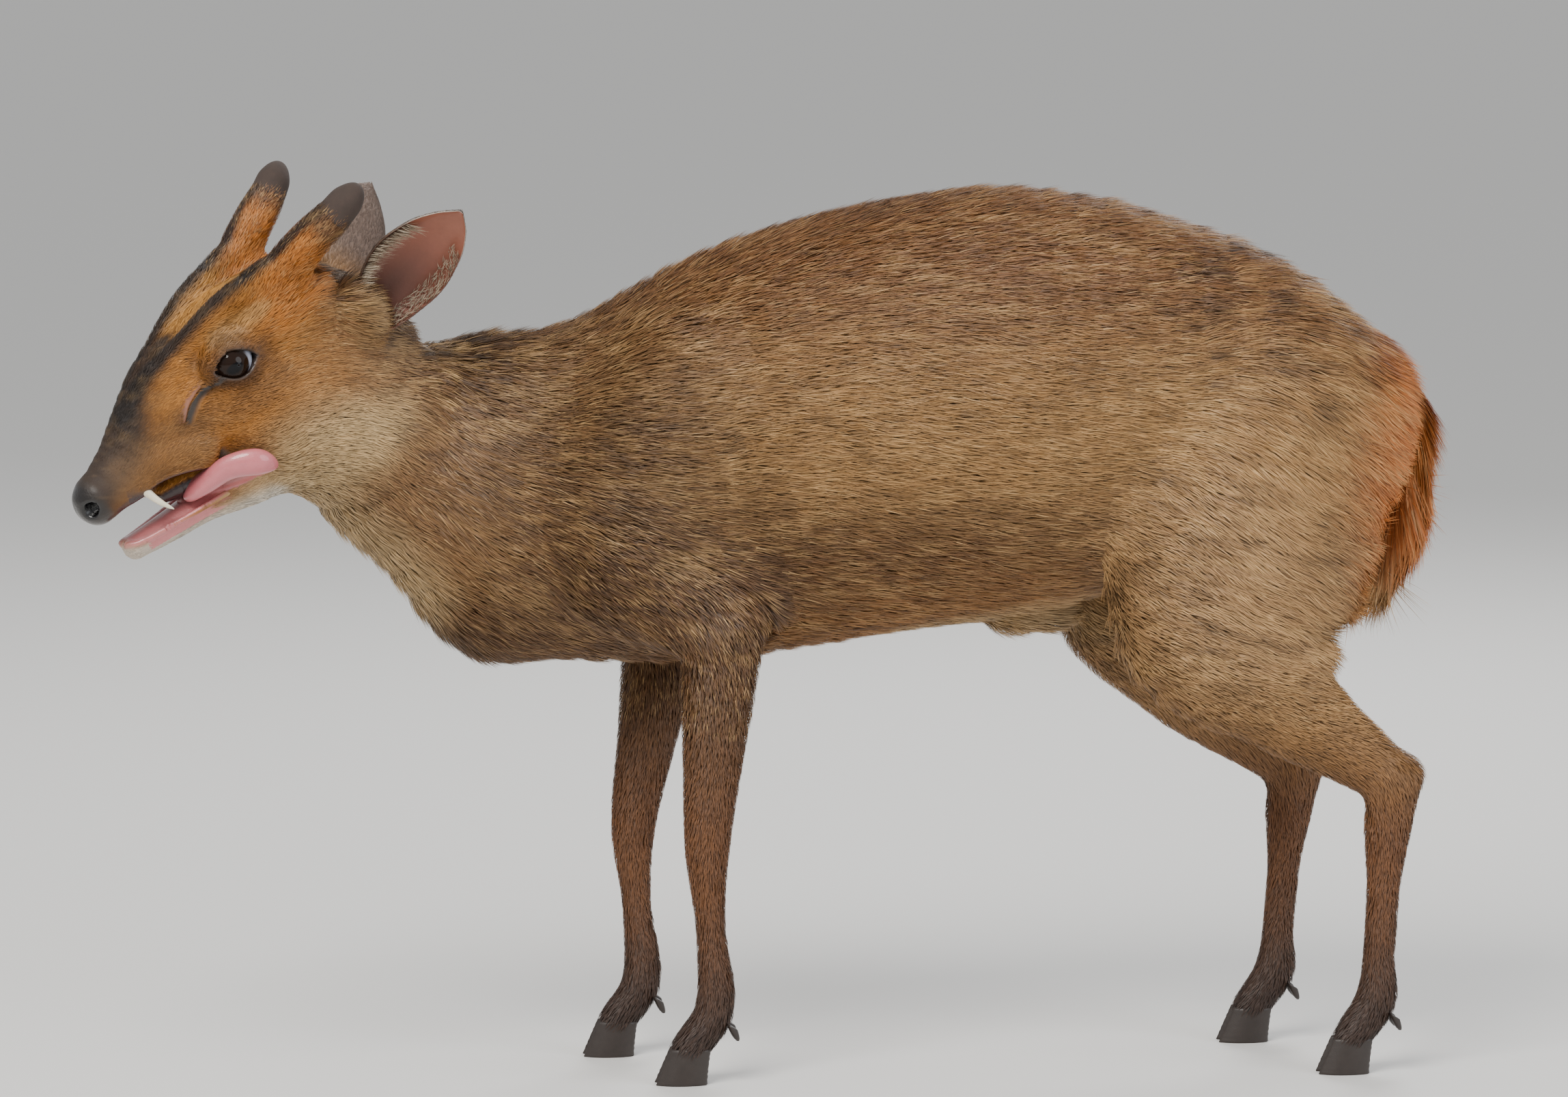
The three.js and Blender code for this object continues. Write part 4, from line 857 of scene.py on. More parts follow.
    def mouth(self, points: np.ndarray, normals: np.ndarray) -> np.ndarray:
        """How much each point belongs to the inside of the mouth."""
        local = HEAD.local(points)
        folded = HEAD.folded(points)
        along, aside, up = folded.T
        turned = normals @ HEAD.turn
        facing = turned[:, 2]
        inward = -turned[:, 1] * np.sign(local[:, 1])
        span = smoothstep(along, 12, 18) * smoothstep(along, 104, 92) * within(up, -45, 4) * (aside < 30)
        roof = smoothstep(facing, -0.35, -0.7) * smoothstep(up, -31, -25)
        floor = smoothstep(facing, 0.1, 0.45) * smoothstep(up, -26, -31) * smoothstep(along, 80, 66)
        lip = smoothstep(aside, 17, 13.5) * smoothstep(facing, 0.25, -0.15) * (up < -5)
        cheek = smoothstep(inward, 0.0, 0.3) * (aside < 22)
        roof = np.maximum(roof, np.maximum(lip, cheek) * within(along, 24, 90))
        # The deep corners of the mouth take the same colours, most of them the painted shadow
        deep = smoothstep(self.body.mouth_deep.distance(folded), 2.6, 1.4) * smoothstep(facing, 0.75, 0.4)
        deep = deep * (aside < 20.5) * (up > -40) * (up < np.interp(along, *self.MOUTH_TOP))
        return np.maximum(span * np.maximum(roof, floor), deep)


# Meshes


@dataclass
class Mesh:
    """Points in millimetres with faces of 3 or 4 corners, and a colour and a bareness for each point."""

    points: np.ndarray
    faces: np.ndarray
    colour: np.ndarray | None = None
    bare: np.ndarray | None = None


class Model:
    """Makes the objects, moved into the row frame, and hides the solids that they stand in for."""

    def __init__(self, shift: np.ndarray):
        """Args: shift: where the animal's own origin lies in the row frame, in metres."""
        self.shift = shift

    def add(self, name: str, mesh: Mesh, material: bpy.types.Material, slot: str,
            nodes: Sequence[str] = ()) -> bpy.types.Object:
        """One object of the animal, riding on the root."""
        data = bpy.data.meshes.new(name)
        corners = mesh.faces.shape[1]
        data.vertices.add(len(mesh.points))
        data.vertices.foreach_set("co", (mesh.points * MM + self.shift).astype(np.float32).ravel())
        data.loops.add(mesh.faces.size)
        data.loops.foreach_set("vertex_index", mesh.faces.astype(np.int32).ravel())
        data.polygons.add(len(mesh.faces))
        data.polygons.foreach_set("loop_start", np.arange(0, mesh.faces.size, corners, dtype=np.int32))
        data.update(calc_edges=True)
        data.polygons.foreach_set("use_smooth", np.ones(len(mesh.faces), bool))
        if mesh.colour is not None:
            paint(data, mesh.colour, mesh.bare)
        data.materials.append(material)
        obj = bpy.data.objects.new(name, data)
        bpy.context.scene.collection.objects.link(obj)
        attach(obj, "root")
        if nodes:
            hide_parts(*nodes)
        return obj


def outward(points: np.ndarray, triangles: np.ndarray) -> np.ndarray:
    """The triangles of a closed mesh, turned so that they face outwards."""
    corners = points[triangles]
    volume = np.sum(corners[:, 0] * np.cross(corners[:, 1], corners[:, 2]))
    return triangles if volume > 0 else triangles[:, ::-1]


def paint(data: bpy.types.Mesh, colour: np.ndarray, bare: np.ndarray | None) -> None:
    """Stores a colour and a bareness at each point of the mesh."""
    layer = data.color_attributes.new("coat_colour", "FLOAT_COLOR", "POINT")
    rows = np.ones((len(colour), 4), np.float32)
    rows[:, :3] = np.clip(colour, 0, 1)
    layer.data.foreach_set("color", rows.ravel())
    if bare is not None:
        values = data.attributes.new("bare", "FLOAT", "POINT")
        values.data.foreach_set("value", np.asarray(bare, np.float32))


class Skin:
    """The mesh of the skin, from the body's distances on a grid."""

    FINE = 2.8
    RATIO = 4
    FILLED = 1.25
    PASSES = 3
    STEP_LIMIT = 0.8
    STEP_SHARE = 0.9

    def __init__(self, body: Body):
        """Args: body: the body to be covered."""
        self.body = body

    def build(self) -> tuple[np.ndarray, np.ndarray]:
        """Points and triangles of the skin."""
        points, quads = self._surface()
        points, triangles = self._refined(points, quads)
        for _ in range(self.PASSES):
            distance, gradient = self.body.slope(points)
            steepness = np.maximum(np.sum(gradient ** 2, axis=1), 0.2)
            move = np.clip(distance / steepness, -self.STEP_LIMIT, self.STEP_LIMIT)
            points = points - (move * self.STEP_SHARE)[:, None] * gradient
        return points.astype(np.float32), outward(points, triangles)

    def _surface(self) -> tuple[np.ndarray, np.ndarray]:
        """A first surface: a coarse grid finds the fine cells that are worth filling."""
        low, high = self.body.low, self.body.high
        coarse = self.FINE * self.RATIO
        counts = np.ceil((high - low) / coarse).astype(int) + 1
        axes = [low[i] + coarse * np.arange(counts[i]) for i in range(3)]
        centres = np.stack(np.meshgrid(*axes, indexing="ij"), axis=-1).reshape(-1, 3).astype(np.float32)
        rough = self.body.distance(centres)
        cells = np.abs(rough) < coarse * self.FILLED
        grid = rough.reshape(counts)
        for axis in range(3):
            grid = np.repeat(grid, self.RATIO, axis)
        offsets = np.stack(np.meshgrid(*[np.arange(self.RATIO)] * 3, indexing="ij"), axis=-1).reshape(-1, 3)
        index = np.stack(np.unravel_index(np.nonzero(cells)[0], counts), axis=-1)
        fine = (index[:, None, :] * self.RATIO + offsets[None]).reshape(-1, 3)
        middle = (self.RATIO - 1) / 2
        places_at = low + (fine - middle) * self.FINE
        grid[fine[:, 0], fine[:, 1], fine[:, 2]] = self.body.distance(places_at.astype(np.float32))
        LOG.info("skin grid %s, %d fine cells", grid.shape, len(fine))
        volume = openvdb.FloatGrid(float(coarse))
        volume.copyFromArray(np.clip(grid, -coarse, coarse).astype(np.float32))
        points, quads = volume.convertToQuads(isovalue=0.0)
        return (low + (points - middle) * self.FINE).astype(np.float32), quads.astype(np.int32)

    def _refined(self, points: np.ndarray, quads: np.ndarray) -> tuple[np.ndarray, np.ndarray]:
        """The surface with smaller faces on the head, and smallest round the eyes and the mouth."""
        data = bpy.data.meshes.new("skin_draft")
        data.from_pydata(points.tolist(), [], quads.tolist())
        form = bmesh.new()
        form.from_mesh(data)
        for reach in (self._on_head, self._on_face):
            centres = np.array([edge.verts[0].co + edge.verts[1].co for edge in form.edges]) / 2
            chosen = reach(centres.astype(np.float32))
            edges = [edge for edge, keep in zip(form.edges, chosen) if keep]
            bmesh.ops.subdivide_edges(form, edges=edges, cuts=1, use_grid_fill=True)
        bmesh.ops.triangulate(form, faces=form.faces[:])
        form.to_mesh(data)
        form.free()
        co = np.zeros(len(data.vertices) * 3, np.float32)
        data.vertices.foreach_get("co", co)
        corners = np.zeros(len(data.loops), np.int32)
        data.loops.foreach_get("vertex_index", corners)
        bpy.data.meshes.remove(data)
        return co.reshape(-1, 3), corners.reshape(-1, 3)

    @staticmethod
    def _on_head(points: np.ndarray) -> np.ndarray:
        along, aside, up = HEAD.folded(points).T
        return within(along, -20, 135) & (up > -75) & (aside < 60)

    @staticmethod
    def _on_face(points: np.ndarray) -> np.ndarray:
        local = HEAD.folded(points)
        along, aside, up = local.T
        eye = np.linalg.norm(local - np.array(EYE_AT), axis=1) < 23
        mouth = (along < 78) & within(up, -48, -8)
        nose = along < 26
        slit = (np.abs(along - 82) < 16) & (np.abs(up - 20) < 13) & (aside > 20)
        return eye | mouth | nose | slit


# The coat


@dataclass(frozen=True)
class Pelt:
    """How the coat of one region grows."""

    region: str
    path: Limb
    on_head: bool
    lie: int
    length: float
    width: float
    density: float
    slot: str = "body_coat"


@dataclass
class Roots:
    """Where tufts grow, with what each one needs."""

    at: np.ndarray
    normal: np.ndarray
    lie: np.ndarray
    region: np.ndarray
    way: np.ndarray
    angle: np.ndarray

    def chosen(self, index: np.ndarray) -> Roots:
        """The roots at these places in the arrays."""
        return Roots(*(values[index] for values in vars(self).values()))

    @staticmethod
    def joined(parts: Sequence[Roots]) -> Roots:
        """All the parts' roots, one after the other."""
        columns = zip(*(vars(part).values() for part in parts))
        return Roots(*(np.concatenate(values) for values in columns))


def random_unit(rng: np.random.Generator, count: int) -> np.ndarray:
    """Uniform numbers from -1 to 1."""
    return rng.uniform(-1, 1, count).astype(np.float32)


class Coat:
    """Tufts of hair over the skin, each a narrow curved blade."""

    PER_PIECE = 62000
    PATCH = 0.003
    REACH = 40
    MELT = 11
    HAUNCH_LIE = 1.9
    HAUNCH_LENGTH = 15
    LEG_LENGTH = 6.5
    LENGTH_ON_FACE = ((0, 30, 70, 120, 160, 200), (1.6, 2.4, 3.6, 5.2, 10, 16))
    WIDTH_BY_LENGTH = ((2, 12), (0.7, 1.0))
    LOOSE_BY_RISE = ((1, 7), (0.1, 0.2))
    TILT = 0.35
    SWAY = 0.07
    TIP_SWAY = 2.6
    ROOT_DEPTH = 0.3
    MIDDLE_AHEAD = 0.48
    MIDDLE_LIFT = 0.8
    MIDDLE_WIDTH = 0.86
    SHADES = np.array([0.46, 0.46, 0.82, 0.82, 0.98])
    FACES = np.array([[0, 1, 2], [0, 2, 3], [3, 2, 4]])

    def __init__(self, body: Body, markings: Markings, share: float = 1.0):
        """Args: body: what the coat grows on; markings: its colours; share: part of the tufts to grow."""
        self.body = body
        self.markings = markings
        self.share = share
        self.rng = np.random.default_rng(SEED)
        legs = [
            Pelt(f"{name}_{i}", limb, False, 1, self.LEG_LENGTH if i else 9.0, 0.85, 0.85)
            for name, limbs in body.legs.items() for i, (limb, _) in enumerate(limbs)]
        self.pelts = [
            Pelt("trunk", body.trunk, False, 1, 15.0, 0.75, 0.8),
            Pelt("neck", body.neck, False, -1, 17.0, 0.8, 0.95),
            Pelt("head", body.skull, True, 1, 5.0, 0.62, 1.65, "face_coat"),
            Pelt("jaw", body.jaw, True, 1, 4.0, 0.6, 1.3, "face_coat"),
            Pelt("throat", body.throat, True, 1, 11.0, 0.8, 1.0, "face_coat"),
            Pelt("tail", body.tail, False, 1, 26.0, 1.1, 1.4, "tail_coat"),
            Pelt("pedicles", body.pedicle, True, 1, 4.2, 0.6, 1.7, "face_coat"),
            *legs,
        ]
        self.names = [pelt.region for pelt in self.pelts]

    def _of(self, regions: np.ndarray, region: str) -> np.ndarray:
        """True where the number in regions stands for this region."""
        return regions == self.names.index(region)

    def _paths(self, points: np.ndarray) -> tuple[np.ndarray, ...]:
        """Distances, tangents, ways and angles of each point for each region's path."""
        local = HEAD.local(points)
        folded = HEAD.folded(points)
        turn = np.where(local[:, 1] < 0, -1, 1)
        shape = (len(self.pelts), len(points))
        distances = np.full(shape, FAR, np.float32)
        tangents = np.zeros((*shape, 3), np.float32)
        ways = np.zeros(shape, np.float32)
        angles = np.zeros(shape, np.float32)
        for i, pelt in enumerate(self.pelts):
            at = folded if pelt.on_head else points
            close = near(pelt.path, at, self.REACH)
            if pelt.region == "neck":
                close &= local[:, 0] > 120
            if pelt.region == "tail":
                close &= points[:, 0] > TAIL_FROM
            if not close.any():
                continue
            distance, tangent, way, angle = pelt.path.frame(at[close])
            if pelt.on_head:
                tangent[:, 1] *= turn[close]
                tangent = HEAD.turned(tangent)
                angle = angle * turn[close]
            if pelt.region == "tail":
                distance = distance - 6
            if pelt.region == "pedicles":
                distance = np.where(folded[close, 2] > 50, distance - 4, distance + 8)
            distances[i, close] = distance
            tangents[i, close] = tangent * pelt.lie
            ways[i, close] = way
            angles[i, close] = angle
        return distances, tangents, ways, angles

    def _lie(self, points: np.ndarray, normals: np.ndarray) -> tuple[np.ndarray, ...]:
        """Direction of the hair, region, and the place along and round the region's path."""
        distances, tangents, ways, angles = self._paths(points)
        x, z = points[:, 0], points[:, 2]
        each = np.arange(len(points))
        best = np.argmin(distances, axis=0)
        weights = np.exp(-np.clip((distances - distances[best, each]) / self.MELT, 0, 30))
        lie = np.einsum("ij,ijk->jk", weights, tangents)
        lie[:, 2] -= 0.22 * (z > 200) * (HEAD.local(points)[:, 0] > 150)
        haunch = smoothstep(x, 95, 160) * smoothstep(z, 165, 235)
        lie = unit(lie)
        lie[:, 0] += self.HAUNCH_LIE * haunch * (distances[self.names.index("tail")] > 0)
        waver = np.stack([NOISE[i](points, 11) for i in (2, 3, 1)], axis=1)
        slow = np.stack([NOISE[i](points, 45) for i in (1, 2, 0)], axis=1)
        rough = 0.45 + 0.9 * smoothstep(x, 150, 280) + 0.8 * smoothstep(x, -130, -200)
        loose = np.interp(self.body.coat_rise(points), *self.LOOSE_BY_RISE) * rough
        lie = unit(lie) + loose[:, None] * waver + 0.14 * rough[:, None] * slow
        lie = lie - normals * np.sum(lie * normals, axis=1)[:, None]
        return unit(lie), best, ways[best, each], angles[best, each]

    def _bare(self, points: np.ndarray, normals: np.ndarray) -> np.ndarray:
        """True where no hair grows."""
        local = HEAD.folded(points)
        along, _, up = local.T
        eye = local - np.array(EYE_AT, np.float32)
        lids = (np.linalg.norm(eye, axis=1) < 21) & (almond(eye) < 1.6) & (eye[:, 1] > 0)
        nose = (self.body.nose.distance(local) < 1.4) & (along < 17)
        slit = self.body.gland.distance(local) < 1.2
        lips = (self.body.lips.distance(local) < 0.6) & (along < 110)
        _, bare = self.markings.skin(points, normals)
        hoof = points[:, 2] < 19.5
        tip = (along > 150) & (antler_plane(local) > -0.5) & (up > 50)
        return lids | nose | slit | lips | (bare > 0.45) | hoof | tip

    def roots(self, points: np.ndarray, triangles: np.ndarray) -> Roots:
        """Roots spread over the skin as thickly as each region's coat grows."""
        corners = points[triangles]
        cross = np.cross(corners[:, 1] - corners[:, 0], corners[:, 2] - corners[:, 0])
        area = np.linalg.norm(cross, axis=1) / 2
        point_normals = np.zeros_like(points)
        for i in range(3):
            np.add.at(point_normals, triangles[:, i], cross)
        point_normals = unit(point_normals)
        centres = corners.mean(axis=1)
        _, region, _, _ = self._lie(centres, unit(cross))
        density = np.array([pelt.density for pelt in self.pelts])[region] * self.share
        total = np.cumsum(area * density)
        ticks = np.arange(self.rng.uniform(), total[-1], 1.0)
        chosen = np.searchsorted(total, ticks)
        a, b = self.rng.uniform(0, 1, (2, len(chosen)))
        flip = a + b > 1
        a[flip], b[flip] = 1 - a[flip], 1 - b[flip]
        weights = np.stack([1 - a - b, a, b], axis=1).astype(np.float32)
        at = np.einsum("ij,ijk->ik", weights, corners[chosen])
        normal = unit(np.einsum("ij,ijk->ik", weights, point_normals[triangles[chosen]]))
        keep = ~self._bare(at, normal)
        at, normal = at[keep].astype(np.float32), normal[keep].astype(np.float32)
        lie, region, way, angle = self._lie(at, normal)
        return Roots(at, normal, lie, region, way, angle)

    def _lengths(self, roots: Roots) -> np.ndarray:
        """Length of each tuft."""
        lengths = np.array([pelt.length for pelt in self.pelts])[roots.region]
        local = HEAD.folded(roots.at)
        along, aside, up = local.T
        on_face = np.interp(along, *self.LENGTH_ON_FACE)
        lengths = np.where(self._of(roots.region, "head"), on_face, lengths)
        face = (aside < 50) & within(along, 0, 200) & (up > -80)
        lengths = np.where(face, np.minimum(lengths, on_face * 1.25), lengths)
        eye = local - np.array(EYE_AT, np.float32)
        by_eye = np.linalg.norm(eye, axis=1) < 26
        lengths = np.where(by_eye, np.minimum(lengths, 0.9 + 0.4 * np.maximum(almond(eye), 0)), lengths)
        x, _, z = roots.at.T
        haunch = smoothstep(x, 120, 300) * smoothstep(z, 190, 250)
        longer = np.maximum(lengths, self.HAUNCH_LENGTH * haunch)
        lengths = np.where(self._of(roots.region, "tail"), lengths, longer) * (1 + 0.45 * haunch)
        lower = smoothstep(z, 270, 180)
        lengths = lengths * (1 - lower) + np.minimum(lengths, self.LEG_LENGTH) * lower
        return lengths * (1 + 0.28 * random_unit(self.rng, len(lengths)) + 0.15 * NOISE[3](roots.at, 14))

    def _widths(self, roots: Roots, lengths: np.ndarray) -> np.ndarray:
        """Width of each tuft at its root."""
        widths = np.array([pelt.width for pelt in self.pelts])[roots.region]
        widths = widths * np.interp(lengths, *self.WIDTH_BY_LENGTH)
        return widths * (1 + 0.25 * random_unit(self.rng, len(lengths)))

    def _rises(self, roots: Roots, lengths: np.ndarray) -> np.ndarray:
        """How high each tuft's tip stands over the skin."""
        x, _, z = roots.at.T
        rises = self.body.coat_rise(roots.at) * (0.96 + 0.16 * random_unit(self.rng, len(lengths)))
        behind = smoothstep(roots.normal[:, 0], 0.3, 0.9) * smoothstep(x, 255, 300)
        rises = rises + 7 * behind * smoothstep(z, 170, 220) * smoothstep(z, 380, 320)
        on_tail = self._of(roots.region, "tail")
        rises = rises + 6 * on_tail * smoothstep(roots.normal[:, 0], 0.0, -0.6)
        return np.minimum(rises, lengths * 0.5)

    def blades(self, roots: Roots, lengths: np.ndarray, widths: np.ndarray, rises: np.ndarray,
               colour: np.ndarray) -> Mesh:
        """The tufts as blades of three triangles that lean over as they leave the skin."""
        count = len(lengths)
        tilt = random_unit(self.rng, count)[:, None] * self.TILT
        across = unit(np.cross(roots.lie, roots.normal) + roots.normal * tilt)
        side = across * random_unit(self.rng, count)[:, None] * self.SWAY * lengths[:, None]
        root = roots.at - roots.normal * self.ROOT_DEPTH
        ahead = roots.lie * lengths[:, None]
        lift = roots.normal * rises[:, None]
        middle = root + self.MIDDLE_AHEAD * ahead + self.MIDDLE_LIFT * lift + side
        tip = root + ahead + lift + side * self.TIP_SWAY
        reach = across * widths[:, None] / 2
        narrow = reach * self.MIDDLE_WIDTH
        corners = np.stack([root - reach, root + reach, middle + narrow, middle - narrow, tip], axis=1)
        tints = colour[:, None, :] * self.SHADES[None, :, None]
        index = (np.arange(count)[:, None, None] * 5 + self.FACES[None]).reshape(-1, 3)
        return Mesh(corners.reshape(-1, 3), index, tints.reshape(-1, 3))

    def shades(self, roots: Roots) -> np.ndarray:
        """Colour of each tuft: the markings, the coat's streaks and its own small difference."""
        colour = self.markings.mottled(roots.at, self.markings.hair(roots.at, roots.normal))
        own = 1 + 0.26 * random_unit(self.rng, len(colour)) + 0.12 * NOISE[2](roots.at, 5)
        behind_face = HEAD.local(roots.at)[:, 0] > 130
        banded = (self.rng.uniform(0, 1, len(colour)) < 0.12) & (roots.at[:, 2] > 200) & behind_face
        return mix(colour * own[:, None], HAIR_TIP, 0.35 * banded)

    def grow(self, model: Model, points: np.ndarray, triangles: np.ndarray,
             material: bpy.types.Material) -> None:
        """Grows every region's coat as pieces of the model."""
        roots = self.roots(points, triangles)
        lengths = self._lengths(roots)
        widths = self._widths(roots, lengths)
        rises = self._rises(roots, lengths)
        colour = self.shades(roots)
        groups: dict[str, list[int]] = {}
        for i, name in enumerate(self.names):
            groups.setdefault(name.rsplit("_", 1)[0] if name[-1].isdigit() else name, []).append(i)
        for name, members in groups.items():
            chosen = np.nonzero(np.isin(roots.region, members))[0]
            if not len(chosen):
                continue
            order = chosen[np.argsort(roots.way[chosen] + roots.region[chosen])]
            parts = np.array_split(order, math.ceil(len(order) / self.PER_PIECE))
            for number, part in enumerate(parts, 1):
                piece = roots.chosen(part)
                mesh = self.blades(piece, lengths[part], widths[part], rises[part], colour[part])
                label = f"coat_{name}" + (f"_{number}" if len(parts) > 1 else "")
                obj = model.add(label, mesh, material, self.pelts[members[0]].slot)
                unwrap(obj, piece, self.PATCH)
        LOG.info("%d tufts", len(lengths))


def antler_plane(local: np.ndarray) -> np.ndarray:
    """Height over the plane where the pedicles end. Local points are on the right side."""
    along = unit(np.array([14.0, 5.0, 8.0]))
    return (local - np.array([195.0, 42.0, 73.0])) @ along


def unwrap(obj: bpy.types.Object, roots: Roots, patch: float) -> None:
    """Lays each tuft as a small patch at its root's place on an unwrap of the skin."""
    regions = np.unique(roots.region)
    u = np.zeros(len(roots.at))
    for i, region in enumerate(regions):
        chosen = roots.region == region
        way = roots.way[chosen]
        low, high = way.min(), max(way.max(), way.min() + 1e-3)
        u[chosen] = (i + 0.02 + 0.96 * (way - low) / (high - low)) / len(regions)
    v = 0.01 + 0.98 * (roots.angle + math.pi) / (2 * math.pi)
    u = np.clip(u, patch, 1 - 2 * patch)
    v = np.clip(v, patch, 1 - 2 * patch)
    corner = np.array([[0, 0], [1, 0], [0.93, 0.5], [0.07, 0.5], [0.5, 1]]) * patch
    spots = np.stack([u, v], axis=1)[:, None, :] + corner[None]
    layer = obj.data.uv_layers.new(name="OFBake")
    layer.data.foreach_set("uv", spots[:, Coat.FACES.ravel(), :].astype(np.float32).ravel())


# Separate forms


def rings_mesh(rings: np.ndarray) -> Mesh:
    """A closed body through rings of points, its two ends closed by fans."""
    count, sides = rings.shape[:2]
    points = np.vstack([rings.reshape(-1, 3), rings[0].mean(axis=0), rings[-1].mean(axis=0)])
    faces = []
    for r in range(count - 1):
        for s in range(sides):
            a, b = r * sides + s, r * sides + (s + 1) % sides
            faces += [[a, b, b + sides], [a, b + sides, a + sides]]
    first, last = count * sides, (count - 1) * sides
    for s in range(sides):
        faces += [[first, (s + 1) % sides, s], [first + 1, last + s, last + (s + 1) % sides]]
    return Mesh(points.astype(np.float32), outward(points, np.array(faces)))


def swept(path: Sequence[Place], rings: int, sides: int, start_round: float = 0, end_round: float = 0,
          side: Side = Side.RIGHT) -> Mesh:
    """An oval body along a path of the head's frame, with round ends where they are asked for."""
    knots = np.array([(p.at[0], side.value * p.at[1], p.at[2]) for p in path], float)
    times = np.linspace(0, 1, rings)
    if end_round:
        times = 1 - (1 - times) ** 1.35
    centres = spline(knots, times)
    sizes = spline(np.array([(p.deep, p.wide, 0) for p in path], float), times)
    angles = np.linspace(0, 2 * math.pi, sides, endpoint=False)
    tangents = unit(np.gradient(centres, axis=0))
    made = []
    for t, centre, size, along in zip(times, centres, sizes, tangents):
        scale = 1.0
        if start_round and t < start_round:
            scale = math.sqrt(max(1 - (1 - t / start_round) ** 2, 0.0004))
        if end_round and t > 1 - end_round:
            scale = math.sqrt(max(1 - ((t - 1 + end_round) / end_round) ** 2, 0.0004))
        right = unit(np.array([0, 1, 0]) - along * along[1])
        up = np.cross(along, right)
        made.append(centre + scale * (np.cos(angles)[:, None] * right * size[1]
                                      + np.sin(angles)[:, None] * up * size[0]))
    mesh = rings_mesh(np.array(made))
    mesh.points = HEAD.world(mesh.points)
    return mesh


TABLE_ROWS = 121
TABLE_UNIT = 30


def smooth_table(table: Sequence[tuple[float, float]]) -> np.ndarray:
    """A short table of (place, value) pairs as many rows along a smooth curve, values in table units."""
    knots = np.array([(place, value / TABLE_UNIT, 0) for place, value in table])
    return spline(knots, np.linspace(0, 1, TABLE_ROWS))


def along_table(rows: np.ndarray, t: float) -> float:
    """A value from the rows of a smooth table."""
    return float(np.interp(t, rows[:, 0], rows[:, 1])) * TABLE_UNIT


